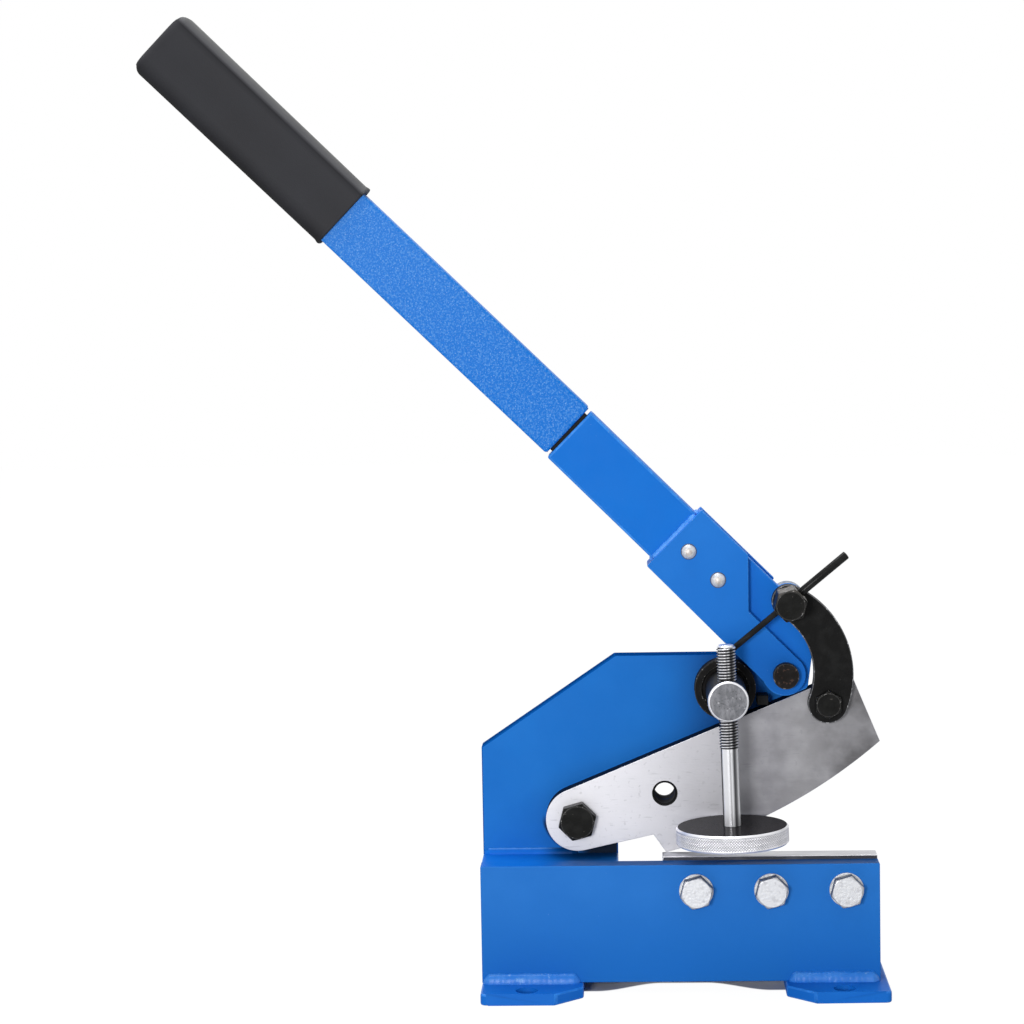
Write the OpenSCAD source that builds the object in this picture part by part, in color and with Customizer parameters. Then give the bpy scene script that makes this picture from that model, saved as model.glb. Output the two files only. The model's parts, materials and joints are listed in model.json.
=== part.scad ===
// Bench lever shear: a frame of two steel plates on feet, a fixed lower blade, a swinging
// upper blade pulled down through a link by a long lever, and a screw hold-down.
// X runs along the blades, Y away from the user, Z up. The origin is the centre of the
// four bench holes, on the bench. The blades pass each other on the plane Y = 0.

/* [Feet] */
// Distance between the bench holes along the base
hole_span_x = 165; // [150:1:190]
// Distance between the bench holes from front to back
hole_span_y = 79; // [76:1:100]
// Diameter of the bench holes
bench_hole_d = 11.5; // [8:0.5:13]
// Width of a foot along the base
foot_w = 53.5; // [44:0.5:60]
// Distance from a bench hole to the outer edge of its foot
foot_outer = 23.9; // [16:0.1:28]
// Metal left between a bench hole's centre and the end of the foot
foot_end = 7.5; // [7:0.5:14]
// Thickness of the feet
foot_t = 6; // [4:0.5:10]
// Radius of the outer corners of the feet
foot_corner_r = 3; // [2:0.5:7]
// Length of the cut across each inner corner of the feet
foot_cut = 14; // [8:0.5:18]

/* [Base] */
// Overhang of the right foot past the ends of the plates
foot_overhang = 3.8; // [0:0.1:8]
// Thickness of the front plate and the main plate
plate_t = 12; // [8:0.5:16]
// Height of the front plate
front_plate_h = 62.2; // [58:0.2:70]
// Depth of the block's top below the front plate's
block_drop = 0.5; // [0.3:0.1:2]
// Length of the block between the plates, which is also the width of the column
column_w = 72.4; // [66:0.2:76]
// Width of the open throat between the column and the lower blade
throat_w = 23.4; // [16:0.2:28]
// Leg length of the weld beads
weld_leg = 3.2; // [2:0.1:5]
// Leg length of the bead along the top of the block
ledge_leg = 3; // [1:0.1:3]

/* [Main plate] */
// Height of the main plate's bottom rail
rail_h = 38; // [30:0.5:44]
// Height of the main plate's left edge
plate_left_h = 119.8; // [110:0.5:130]
// Metal of the main plate above the lever's pivot
plate_crown = 8.9; // [8.5:0.1:12]
// Length along the base of the slanted corner
corner_run = 71.8; // [60:0.2:80]
// Height of the throat under the root of the arm, above the rail
throat_h = 37; // [34:0.5:40]
// Height of the underside of the arm's tip above the rail
arm_tip_h = 76; // [70:0.5:82]
// Metal beyond the lever's pivot at the tip of the arm
arm_nose = 9.2; // [7:0.1:10]

/* [Blades] */
// Thickness of the lower blade
lower_blade_t = 12; // [8:0.5:16]
// Length of the lower blade
lower_blade_len = 113; // [108:0.5:116]
// Height of the lower blade
lower_blade_h = 31.8; // [26:0.2:36]
// Height of the lower blade above the front plate
lower_blade_rise = 2; // [1:0.1:2.5]
// Running gap on each side of the upper blade
blade_gap = 0.2; // [0.1:0.05:0.3]
// Thickness of the upper blade
upper_blade_t = 11.6; // [8:0.1:15.6]
// Radius of the upper blade's round end
eye_r = 16.8; // [15.5:0.1:17]
// Angle of the upper blade's back with the base
back_angle = 22.4; // [21.8:0.1:22.6]
// Length of the upper blade's back, from its round end
back_len = 164; // [160:0.1:166]
// Width of the upper blade's free end
blade_end_w = 40.3; // [38:0.1:41]
// Distance of the heel of the cutting edge from the blade's pivot along the base
heel_x = 47; // [45:0.1:49]
// Depth of the heel of the cutting edge below the blade's pivot
heel_drop = 17.9; // [17.5:0.1:18.2]
// Rise of the curved cutting edge from its chord
edge_sag = 7.6; // [6.5:0.1:8.5]
// Run of the heel's slanted face
nick_run = 6.6; // [5:0.1:8]
// Rise of the heel's slanted face
nick_rise = 9.6; // [8.6:0.1:10]
// Diameter of the hole that cuts round bar
bar_hole_d = 11; // [6:0.5:12]
// Distance of the bar hole from the blade's pivot along the base
bar_hole_x = 46.6; // [44:0.1:50]
// Height of the bar hole above the blade's pivot
bar_hole_z = 13.9; // [12:0.1:15]
// Width of the bar hole's chamfer
bar_chamfer = 1.3; // [0.5:0.1:2]

/* [Pivots] */
// Distance of the blade's pivot from the left end of the base
blade_pivot_x = 51.05; // [48:0.05:54]
// Height of the blade's pivot above the front plate
blade_pivot_z = 19.7; // [19.2:0.1:20.2]
// Distance of the lever's pivot from the blade's pivot along the base
lever_pivot_x = 110.8; // [109:0.1:112]
// Height of the lever's pivot above the blade's pivot
lever_pivot_z = 77.4; // [77:0.1:78.2]
// Thread of the blade's pivot bolt
blade_bolt_d = 12; // [10:1:14]
// Width across the flats of the blade's pivot bolt
blade_bolt_af = 18; // [16:1:21]
// Height of the head of the blade's pivot bolt
blade_bolt_head = 7.5; // [5:0.5:9]
// Thread of the lever's pivot bolt
lever_bolt_d = 10; // [8:1:10]
// Diameter of the round head of the lever's pivot bolt
lever_bolt_head_d = 13.6; // [12:0.2:15]
// Height of the round head of the lever's pivot bolt
lever_bolt_head = 6; // [3:0.5:7]
// Radial running clearance of each pivot
running_gap = 0.06; // [0.03:0.01:0.1]
// Thickness of the nuts behind the main plate
nut_t = 8; // [5:0.5:10]
// Thickness of the washers behind the main plate
back_washer_t = 2; // [1:0.5:3]

/* [Lever] */
// Angle of the raised lever with the base
lever_angle = 135; // [133:0.5:137]
// Thickness of the front cheek and of the rear strap
cheek_t = 6; // [4:0.5:8]
// Length of the cheek above the pivot
cheek_len = 92.4; // [88:0.2:98]
// Distance from the pivot line to the cheek's outer edge
cheek_out = 31.6; // [31:0.1:33]
// Distance from the pivot line to the cheek's inner edge
cheek_in = 9.6; // [8:0.1:10.2]
// Radius of the cheek's round tongue
tongue_r = 10.5; // [10:0.1:11]
// Length of the tongue, from the pivot to the cheek's shoulder
tongue_len = 37.3; // [36:0.1:40]
// Radius of the core plate's eye round the pivot
core_eye_r = 12; // [11.2:0.1:12.1]
// Distance that the core plate's edge stands back from the cheek's
core_inset = 1; // [0:0.1:2]
// Radius of the core plate's toe, beside the pivot
toe_r = 3; // [2:0.1:4]
// Distance from the pivot to the upper end of the toe along the base
toe_x = 11.1; // [10:0.1:12]
// Height of the upper end of the toe above the pivot
toe_up = 7.7; // [5:0.1:9]
// Distance from the pivot to the lower end of the toe along the base
toe_low_x = 9.2; // [8:0.1:9.5]
// Depth of the lower end of the toe below the pivot
toe_low = 5.8; // [4:0.1:6]
// Radius of the core plate's ear round the link screw
ear_r = 9; // [7:0.1:9]
// Height of the rear strap's low corner above the main plate, with the lever raised
strap_rise = 11.2; // [11:0.1:16]
// Distance of the first cheek screw from the pivot
cheek_screw_u = 60.5; // [56:0.5:64]
// Distance between the two cheek screws
cheek_screw_gap = 21.5; // [18:0.5:23]
// Distance of the cheek screws from the pivot line
cheek_screw_v = 11.2; // [9:0.1:13]
// Thread of the cheek screws
cheek_screw_d = 5; // [4:0.5:6]
// Diameter of the domed heads of the cheek screws
cheek_head_d = 8.4; // [7:0.1:10]
// Height of the heads and nuts of the cheek screws
cheek_head_t = 2.6; // [1.5:0.1:4]

/* [Handle] */
// Distance of the socket tube's axis from the pivot line
arm_offset = 11.4; // [10.8:0.1:12]
// Distance that the handle tube sits across the socket tube's axis
handle_step = 0.9; // [0:0.1:1]
// Lean of the handle tube from the socket tube
handle_lean = 0.6; // [0:0.1:0.7]
// Length of the socket tube beyond the cheek
socket_len = 77.4; // [60:0.2:100]
// Width of the socket tube
socket_w = 33; // [32:0.2:35]
// Depth of the socket tube
socket_depth = 18; // [16:0.5:20]
// Width of the handle tube
handle_w = 32.8; // [32:0.2:34]
// Depth of the handle tube
handle_depth = 16; // [15:0.5:17]
// Length of the handle tube
handle_len = 290.4; // [220:0.2:400]
// Open line between the socket tube and the handle tube
handle_joint_gap = 1.9; // [0.5:0.1:3]
// Width of the bar that joins the two tubes
splice_w = 26; // [24:0.2:27]
// Depth of the bar that joins the two tubes
splice_depth = 10.4; // [9:0.2:11]
// Length of the bar that joins the two tubes
splice_len = 100; // [80:1:110]
// Slack between the splice bar and the walls of each tube
slide_fit = 1; // [0.9:0.1:1.2]
// Length of the grip
grip_len = 134; // [100:0.5:160]
// Thickness of the grip's wall
grip_wall = 2.6; // [1.5:0.1:4]
// Offset of the grip's outside from the tube's axis
grip_offset = 0.6; // [0:0.1:1]
// Thickness of the grip's closed end
grip_cap = 6; // [4:0.5:10]
// Width that the grip gains towards its closed end
grip_swell = 1; // [0:0.1:2]
// Radius of the grip's corners
grip_corner_r = 7; // [4:0.5:9]

/* [Link] */
// Distance of the link screw from the pivot, along the lever
link_screw_u = 26.15; // [25.8:0.05:26.5]
// Distance of the link screw from the pivot, across the lever
link_screw_v = 28.85; // [28.5:0.05:29.2]
// Distance of the link's lower pin from the blade's pivot along the base
link_pin_x = 132.9; // [132.5:0.1:133.2]
// Height of the link's lower pin above the blade's pivot
link_pin_z = 61.9; // [61.6:0.1:62.2]
// Thickness of the link
link_t = 6; // [4:0.5:8]
// Radius of the link's upper end
link_top_r = 8.8; // [8:0.1:9.5]
// Radius of the link's lower end
link_low_r = 10.5; // [10:0.1:11.5]
// Radius of the link's outer curve
link_out_r = 51.6; // [48:0.2:56]
// Radius of the link's hollow side
link_in_r = 35; // [32:0.2:38]
// Thread of the link screw
link_screw_d = 10; // [8:1:10]
// Width across the flats of the link screw's long head
link_screw_af = 15.6; // [14:0.2:17]
// Length of the link screw's head
link_screw_head = 20; // [14:0.5:24]
// Distance of the tommy bar from the seat of the link screw's head
tommy_seat = 8.6; // [8.4:0.1:16]
// Diameter of the tommy bar
tommy_d = 4.4; // [4:0.1:5]
// Length of the tommy bar
tommy_len = 78.4; // [50:0.1:80]
// Offset of the tommy bar's hole from the link screw's axis
tommy_rise = 0.7; // [0:0.1:1]
// Angle of the tommy bar with the base
tommy_angle = 39.3; // [30:0.1:50]
// Diameter of the link's lower pin
link_pin_d = 8; // [6:0.5:9]
// Diameter of the pin's tail, which works in the blade's slot
pin_tail_d = 6; // [5:0.5:7]
// Width across the flats of the head on the link's lower pin
link_pin_af = 13; // [11:0.5:14]
// Height of the head on the link's lower pin
link_pin_head = 5.5; // [3:0.5:7]
// Run of the slot for the pin's tail along the blade
slot_run = 7.2; // [6.8:0.1:7.8]
// Rise of the slot for the pin's tail
slot_rise = 7.9; // [7.6:0.1:8.4]
// Play of the pin's tail across the slot
slot_play = 1; // [0.8:0.1:1.4]

/* [Lower blade bolts] */
// Number of bolts that hold the lower blade
blade_screw_count = 3; // [2:1:4]
// Distance from each end of the lower blade to its first bolt
blade_screw_end = 17.3; // [14:0.1:22]
// Depth of the bolts below the cutting edge
blade_screw_depth = 15.6; // [13:0.1:18]
// Thread of the bolts
blade_screw_d = 10; // [6:1:10]
// Width across the flats of the bolt heads
blade_screw_af = 15.4; // [12:0.1:17]
// Height of the bolt heads
blade_screw_head = 6.4; // [4:0.1:7]
// Diameter of the washers
blade_washer_d = 18; // [17:0.5:24]
// Thickness of the washers
blade_washer_t = 1.6; // [1:0.1:3]

/* [Hold-down] */
// Distance of the hold-down from the lever's pivot along the base
clamp_x = 31.45; // [31:0.05:32]
// Depth of the hold-down's stud below the lever's pivot
clamp_z = 8.5; // [8.2:0.1:8.9]
// Diameter of the stud's head
stud_d = 21.2; // [18:0.2:22]
// Distance of the stud's front face from the shear plane
stud_front = 41; // [39:0.5:44]
// Distance of the hold-down screw from the shear plane
screw_front = 30; // [29.8:0.1:31]
// Diameter of the stud's shank
stud_shank_d = 14; // [12:0.5:15]
// Outer diameter of the black boss behind the stud
boss_d = 32.6; // [28:0.2:32.8]
// Diameter of the recess in the boss
boss_recess_d = 25; // [24:0.5:27]
// Depth of the recess in the boss
boss_recess = 3; // [1:0.5:6]
// Thickness of the boss
boss_t = 9; // [8:0.5:11]
// Thread of the hold-down screw
screw_d = 10; // [8:1:10]
// Diameter of the hold-down screw's plain shank
screw_shank_d = 9.2; // [7:0.1:9.6]
// Tilt of the hold-down from upright
clamp_tilt = 1.4; // [0:0.1:1.6]
// Length of the hold-down screw above the disc
screw_len = 94.7; // [85:0.5:98]
// Length of the hold-down screw's thread
screw_thread_len = 54; // [46:0.5:60]
// Diameter of the knurled disc
disc_d = 58.6; // [50:0.2:59]
// Thickness of the knurled disc
disc_t = 9.3; // [6:0.1:12]
// Height of the raised disc above the lower blade
disc_lift = 10.8; // [10.6:0.1:14]
// Diameter of the spigot that carries the disc
spigot_d = 8; // [6:0.5:9]
// Width of the small stop block above the upper blade
stop_w = 6; // [3:0.1:6]
// Height of the small stop block
stop_h = 5.2; // [4:0.2:6]
// Distance of the stop block from the lever's pivot along the base
stop_x = 11.8; // [11.4:0.1:12.6]
// Running gap under the stop block
stop_gap = 0.3; // [0.2:0.05:0.6]

/* [Hidden] */
$fn = 64;

// Sides of a hexagon, and the share of its flats that its corners reach
hex = 6;
hex_corner_share = 1 / cos(30);
// Overrun of every cut past the face that it opens
over = 1;
// Clearance of a bolt's shank in a fixed hole, and of a thread in its tapped hole
bolt_slack = 0.5;
thread_slack = 0.05;
// Seating gap under a head on a piece that turns beneath it
head_gap = 0.1;
// Radius of a head's round face as a share of half its flats, and the cone's slope
hex_face_share = 0.95;
hex_cone_share = 1.7;

// Levels and ends of the base
base_left = -hole_span_x / 2 - foot_outer;
base_right = hole_span_x / 2 + foot_outer - foot_overhang;
base_len = base_right - base_left;
base_top = foot_t + front_plate_h;
rail_top = foot_t + rail_h;
column_right = base_left + column_w;

// Planes from front to back
front_face = -lower_blade_t - plate_t;
upper_front = blade_gap;
upper_back = upper_front + upper_blade_t;
main_front = upper_back + blade_gap;
main_back = main_front + plate_t;
link_front = -link_t;
cheek_front = upper_front - cheek_t;
arm_mid_y = upper_front + upper_blade_t / 2;

// Places of the lower blade
lower_left = column_right + throat_w;
lower_top = base_top + lower_blade_rise;
screw_pitch = (lower_blade_len - 2 * blade_screw_end) / (blade_screw_count - 1);
blade_screws = [for (i = [0:blade_screw_count - 1])
    [lower_left + blade_screw_end + i * screw_pitch, lower_top - blade_screw_depth]];

// Pivots on the X-Z plane
blade_pivot = [base_left + blade_pivot_x, base_top + blade_pivot_z];
lever_pivot = blade_pivot + [lever_pivot_x, lever_pivot_z];
link_pin = blade_pivot + [link_pin_x, link_pin_z];
clamp_axis = lever_pivot - [clamp_x, clamp_z];

// A direction and a point in the lever's own frame: u up the lever, v across it to the link
function heading(a) = [cos(a), sin(a)];
function on_lever(u, v) = lever_pivot + u * heading(lever_angle) + v * heading(lever_angle - 90);
link_top = on_lever(link_screw_u, link_screw_v);

// Upper blade: its corners, and the circle that its cutting edge follows
back_dir = heading(back_angle);
back_start = blade_pivot + eye_r * heading(back_angle + 90);
back_end = back_start + back_len * back_dir;
blade_tip = back_end + blade_end_w * heading(back_angle - 90);
heel = blade_pivot + [heel_x, -heel_drop];
nick = heel + [-nick_run, nick_rise];
edge_chord = norm(blade_tip - heel);
edge_angle = atan2(blade_tip[1] - heel[1], blade_tip[0] - heel[0]);
edge_r = (pow(edge_chord / 2, 2) + pow(edge_sag, 2)) / (2 * edge_sag);
edge_middle = (heel + blade_tip) / 2;
edge_centre = edge_middle + (edge_r - edge_sag) * heading(edge_angle + 90);
edge_half = asin(edge_chord / 2 / edge_r);
nick_reach = norm(nick - blade_pivot);
under_angle = atan2(nick[1] - blade_pivot[1], nick[0] - blade_pivot[0]) + asin(eye_r / nick_reach);
bar_hole = blade_pivot + [bar_hole_x, bar_hole_z];

// Points along an arc between two headings
function arc(centre, r, from, to) =
    [for (i = [0:arc_steps]) centre + r * heading(from + (to - from) * i / arc_steps)];
arc_steps = 32;

// Heading of the flat that joins two round corners, on the right of the way from a to b
function flat_side(a, b, ra, rb) = atan2(b[1] - a[1], b[0] - a[0]) - acos((ra - rb) / norm(b - a));

// Point at distance ra from a and rb from b, to the right of the line from a to b
function apex(a, b, ra, rb) =
    let(
        gap = norm(b - a),
        along = (pow(gap, 2) + pow(ra, 2) - pow(rb, 2)) / (2 * gap),
        away = sqrt(pow(ra, 2) - pow(along, 2)),
        line = (b - a) / gap
    ) a + along * line + away * [line[1], -line[0]];

// Link: a curved band between two round ends
// Both curves touch the round ends of the link
link_in_centre = apex(link_top, link_pin, link_in_r + link_top_r, link_in_r + link_low_r);
link_out_centre = apex(link_top, link_pin, link_out_r - link_top_r, link_out_r - link_low_r);
// How far past the link's pins the wedge that bounds its curve reaches, as a share
link_wedge_share = 2.2;

// Top of the main plate, and the strap's start on the lever clear above it
plate_top = lever_pivot[1] + plate_crown;
strap_start = (plate_crown + strap_rise + cheek_in * sin(lever_angle - 90)) / sin(lever_angle);

// Arm: its start on the cheek, and its tubes
arm_start = on_lever(cheek_len, arm_offset);
handle_start = arm_start + (socket_len + handle_joint_gap) * heading(lever_angle)
    + handle_step * heading(lever_angle - 90);
handle_angle = lever_angle + handle_lean;
tube_bore_w = splice_w + 2 * slide_fit;
tube_bore_depth = splice_depth + 2 * slide_fit;
grip_start = handle_len + grip_cap - grip_len;
// Slack between the grip and the tube
grip_fit = 0.1;
grip_w = handle_w + 2 * (grip_fit + grip_wall);
grip_depth = handle_depth + 2 * (grip_fit + grip_wall);

// Hold-down
stud_seat = main_front - boss_t + boss_recess;
disc_top = lower_top + disc_lift + disc_t;
screw_top = disc_top + screw_len;

// Sheet of metal cut to a shape on the X-Z plane, from Y = front and thick deep
module sheet(front, thick) {
    translate([0, front + thick, 0]) rotate([90, 0, 0]) linear_extrude(thick) children();
}

// Round bar along Y from Y = front, at a point on the X-Z plane
module rod(at, front, length, d) {
    translate([at[0], front + length, at[1]]) rotate([90, 0, 0]) cylinder(d = d, h = length);
}

// Hexagonal head or nut along Y, with its front corners turned off by a cone
module hex_bar(at, front, length, af, turn = 0) {
    face_r = af / 2 * hex_face_share;
    translate([at[0], front + length, at[1]]) rotate([90, 0, 0]) intersection() {
        rotate(turn) cylinder(d = af * hex_corner_share, h = length, $fn = hex);
        cylinder(r1 = face_r + length * hex_cone_share, r2 = face_r, h = length);
    }
}

// Washer along Y
module washer(at, front, thick, d, hole) {
    difference() {
        rod(at, front, thick, d);
        rod(at, front - over, thick + 2 * over, hole);
    }
}

// Round hole along Y through everything between two planes
module hole(at, front, back, d) {
    rod(at, front - over, back - front + 2 * over, d);
}

// Round disc on the X-Z plane
module spot(at, r) {
    translate(at) circle(r);
}

// Foot: a plate across both base plates with a bench hole in each end. Its inner corners are cut
// off at a slant and its outer ones are round
module foot(side) {
    inner = side * (hole_span_x / 2 + foot_outer - foot_w);
    outer = side * (hole_span_x / 2 + foot_outer);
    half = hole_span_y / 2 + foot_end;
    round_x = outer - side * foot_corner_r;
    outward = side > 0 ? 0 : 180;
    color("royalblue") difference() {
        linear_extrude(foot_t) polygon(concat(
            [
                [inner + side * foot_cut, half],
                [inner, half - foot_cut],
                [inner, foot_cut - half],
                [inner + side * foot_cut, -half]
            ],
            arc([round_x, foot_corner_r - half], foot_corner_r, -90, side > 0 ? 0 : -outward),
            arc([round_x, half - foot_corner_r], foot_corner_r, outward, 90)
        ));
        for (y = [-1, 1])
            translate([side * hole_span_x / 2, y * hole_span_y / 2, -over])
                cylinder(d = bench_hole_d, h = foot_t + 2 * over);
    }
}

module foot_left() { foot(-1); }

module foot_right() { foot(1); }

// Front plate: carries the lower blade on its back
module front_plate() {
    color("royalblue") difference() {
        translate([base_left, front_face, foot_t]) cube([base_len, plate_t, front_plate_h]);
        for (p = blade_screws)
            hole(p, front_face, front_face + plate_t, blade_screw_d + bolt_slack);
    }
}

// Main plate: bottom rail, column and the arm that carries the three pivots
module main_plate() {
    color("royalblue") difference() {
        sheet(main_front, plate_t) polygon([
            [base_left, foot_t],
            [base_right, foot_t],
            [base_right, rail_top],
            [column_right, rail_top],
            [column_right, rail_top + throat_h],
            [bar_hole[0], rail_top + throat_h],
            [lever_pivot[0] + arm_nose, rail_top + arm_tip_h],
            [lever_pivot[0] + arm_nose, plate_top],
            [base_left + corner_run, plate_top],
            [base_left, foot_t + plate_left_h]
        ]);
        hole(blade_pivot, main_front, main_back, blade_bolt_d + bolt_slack);
        hole(lever_pivot, main_front, main_back, lever_bolt_d + bolt_slack);
        hole(clamp_axis, main_front, main_back, stud_shank_d + 2 * running_gap);
        hole(bar_hole, main_front, main_back, bar_hole_d);
    }
}

// Block between the plates under the column
module spacer_block() {
    color("royalblue")
        translate([base_left, -lower_blade_t, foot_t])
            cube([column_w, lower_blade_t + main_front, front_plate_h - block_drop]);
}

// Three-sided bead along X in the corner of a flat face and an upright one
module bead_x(from, to, y, z, side, leg) {
    translate([from, y, z]) rotate([90, 0, 90]) linear_extrude(to - from)
        polygon([[0, 0], [side * leg, 0], [0, leg]]);
}

// Beads between the feet and both plates
module foot_welds() {
    inner = hole_span_x / 2 + foot_outer - foot_w + weld_leg;
    color("royalblue") for (y = [front_face, main_back]) {
        side = y < 0 ? -1 : 1;
        bead_x(base_left, -inner, y, foot_t, side, weld_leg);
        bead_x(inner, base_right, y, foot_t, side, weld_leg);
    }
}

// Bead along the foot of the column, on top of the block, up to the blade's round end
module ledge_weld() {
    color("royalblue")
        bead_x(base_left, blade_pivot[0], main_front, base_top - block_drop, -1, ledge_leg);
}

// Lower blade: a ground bar that stands just above the front plate
module lower_blade() {
    color("silver") difference() {
        translate([lower_left, -lower_blade_t, lower_top - lower_blade_h])
            cube([lower_blade_len, lower_blade_t, lower_blade_h]);
        for (p = blade_screws)
            hole(p, -lower_blade_t, 0, blade_screw_d + 2 * thread_slack);
    }
}

// Bolts of the lower blade, screwed into it through the front plate
module lower_blade_bolts() {
    seat = front_face - blade_washer_t;
    tail = lower_blade_t * lower_share;
    color("gainsboro") for (p = blade_screws) {
        hex_bar(p, seat - blade_screw_head, blade_screw_head, blade_screw_af, hex_turn);
        rod(p, seat, blade_washer_t + plate_t + tail, blade_screw_d);
    }
}
// Share of the lower blade's thickness that its bolts reach into, and the turn of their heads
lower_share = 0.9;
hex_turn = 15;

module lower_blade_washers() {
    color("gainsboro") for (p = blade_screws)
        washer(p, front_face - blade_washer_t, blade_washer_t, blade_washer_d, blade_screw_d + bolt_slack);
}

// Upper blade: round end, straight back, curved cutting edge and a nicked heel
module upper_blade() {
    color("lightgray") difference() {
        sheet(upper_front, upper_blade_t) polygon(concat(
            arc(blade_pivot, eye_r, back_angle + 90, under_angle + 270),
            [nick],
            arc(edge_centre, edge_r, edge_angle - 90 - edge_half, edge_angle - 90 + edge_half),
            [back_end]
        ));
        hole(blade_pivot, upper_front, upper_back, blade_bolt_d + 2 * running_gap);
        hole(bar_hole, upper_front, upper_back, bar_hole_d);
        translate([bar_hole[0], upper_front + bar_chamfer + over, bar_hole[1]]) rotate([90, 0, 0])
            cylinder(
                r1 = bar_hole_d / 2 - over,
                r2 = bar_hole_d / 2 + bar_chamfer + over,
                h = bar_chamfer + 2 * over
            );
        sheet(upper_front - over, upper_blade_t + 2 * over) pin_slot();
    }
}

// Slot behind the link's lower end, where the tail of its pin works
module pin_slot() {
    slot_r = pin_tail_d / 2 + slot_play;
    along = atan2(slot_rise, slot_run);
    polygon(concat(
        arc(link_pin, slot_r, along + 90, along + 270),
        arc(link_pin + [slot_run, slot_rise], slot_r, along - 90, along + 90)
    ));
}

// Bolt that the upper blade turns on
module blade_pivot_bolt() {
    color("dimgray") {
        hex_bar(blade_pivot, upper_front - head_gap - blade_bolt_head, blade_bolt_head, blade_bolt_af,
            hex_turn);
        rod(blade_pivot, upper_front - head_gap,
            main_back - upper_front + head_gap + back_washer_t + nut_t + over, blade_bolt_d);
    }
}

module blade_pivot_washer() {
    color("dimgray") washer(blade_pivot, main_back, back_washer_t,
        blade_bolt_af * hex_corner_share + 2 * over, blade_bolt_d + bolt_slack);
}

module blade_pivot_nut() {
    color("dimgray") back_nut(blade_pivot, blade_bolt_d, blade_bolt_af);
}

// Nut on a bolt behind the main plate
module back_nut(at, d, af) {
    seat = main_back + back_washer_t;
    difference() {
        mirror([0, 1, 0]) hex_bar(at, -seat - nut_t, nut_t, af);
        hole(at, seat, seat + nut_t, d + 2 * thread_slack);
    }
}

// Core of the lever: eye round the pivot, ear for the link screw, broad upper half
module lever_core() {
    low = lever_pivot + [toe_low_x, -toe_low];
    up = lever_pivot + [toe_x, toe_up];
    edge = cheek_out - core_inset;
    eye_side = flat_side(lever_pivot, low, core_eye_r, toe_r);
    toe_side = flat_side(low, up, toe_r, toe_r);
    ear_side = flat_side(up, link_top, toe_r, ear_r);
    color("royalblue") difference() {
        sheet(upper_front, upper_blade_t) polygon(concat(
            arc(lever_pivot, core_eye_r, lever_angle - 270 - acos(tongue_r / core_eye_r), eye_side),
            arc(low, toe_r, eye_side, toe_side),
            arc(up, toe_r, toe_side, ear_side),
            arc(link_top, ear_r, ear_side, lever_angle - 90 + acos((edge - link_screw_v) / ear_r)),
            [on_lever(cheek_len, edge), on_lever(cheek_len, -cheek_in)]
        ));
        hole(lever_pivot, upper_front, upper_back, lever_bolt_d + 2 * running_gap);
        hole(link_top, upper_front, upper_back, link_screw_d + 2 * running_gap);
        cheek_holes(upper_front, upper_back);
    }
}

// Places of the two screws through the lever's plates
cheek_screw_spots = [for (i = [0, 1])
    on_lever(cheek_screw_u + i * cheek_screw_gap, cheek_screw_v)];

module cheek_holes(front, back) {
    for (p = cheek_screw_spots)
        hole(p, front, back, cheek_screw_d + 2 * thread_slack);
}

// Front cheek: a tongue on the pivot that widens over a sloping shoulder
module front_cheek() {
    shoulder_run = cheek_out - tongue_r;
    color("royalblue") difference() {
        sheet(cheek_front, cheek_t) polygon(concat(
            arc(lever_pivot, tongue_r, lever_angle + 90, lever_angle + 270),
            [
                on_lever(tongue_len, tongue_r),
                on_lever(tongue_len + shoulder_run, cheek_out),
                on_lever(cheek_len, cheek_out),
                on_lever(cheek_len, -cheek_in)
            ]
        ));
        hole(lever_pivot, cheek_front, upper_front, lever_bolt_d + 2 * running_gap);
        cheek_holes(cheek_front, upper_front);
    }
}

// Rear strap: backs the lever's upper half
module rear_strap() {
    color("royalblue") difference() {
        sheet(upper_back, cheek_t) polygon([
            on_lever(strap_start, -cheek_in),
            on_lever(cheek_len, -cheek_in),
            on_lever(cheek_len, cheek_out),
            on_lever(strap_start, cheek_out)
        ]);
        cheek_holes(upper_back, upper_back + cheek_t);
    }
}

// Domed screws through the cheek, the core and the strap
module cheek_screws() {
    color("gainsboro") for (p = cheek_screw_spots) {
        rod(p, cheek_front, 2 * cheek_t + upper_blade_t + cheek_head_t, cheek_screw_d);
        dome_r = (pow(cheek_head_d / 2, 2) + pow(cheek_head_t, 2)) / (2 * cheek_head_t);
        intersection() {
            translate([p[0], cheek_front - cheek_head_t + dome_r, p[1]]) sphere(dome_r);
            rod(p, cheek_front - cheek_head_t, cheek_head_t, cheek_head_d);
        }
    }
}

module cheek_nuts() {
    back = upper_back + cheek_t;
    color("gainsboro") for (p = cheek_screw_spots)
        difference() {
            mirror([0, 1, 0]) hex_bar(p, -back - cheek_head_t, cheek_head_t, cheek_head_d);
            hole(p, back, back + cheek_head_t, cheek_screw_d + 2 * thread_slack);
        }
}

// Puts its children on an axis of the arm, with X up the arm and Y across it
module on_axis(at, angle) {
    translate([at[0], arm_mid_y, at[1]]) rotate([90, 0, 0]) rotate(angle) children();
}

module on_socket() {
    on_axis(arm_start, lever_angle) children();
}

module on_handle() {
    on_axis(handle_start, handle_angle) children();
}

// Bar along the arm, centred on its axis
module arm_bar(from, length, w, depth) {
    translate([from, -w / 2, -depth / 2]) cube([length, w, depth]);
}

module socket_tube() {
    color("royalblue") on_socket() difference() {
        arm_bar(0, socket_len, socket_w, socket_depth);
        arm_bar(over, socket_len, tube_bore_w, tube_bore_depth);
    }
}

// Beads that hold the socket tube to the end of the core plate
module arm_welds() {
    color("royalblue") on_socket() for (side = [-1, 1])
        translate([0, side * socket_w / 2, -upper_blade_t / 2]) linear_extrude(upper_blade_t)
            polygon([[0, 0], [weld_leg, 0], [0, side * weld_leg]]);
}

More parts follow.
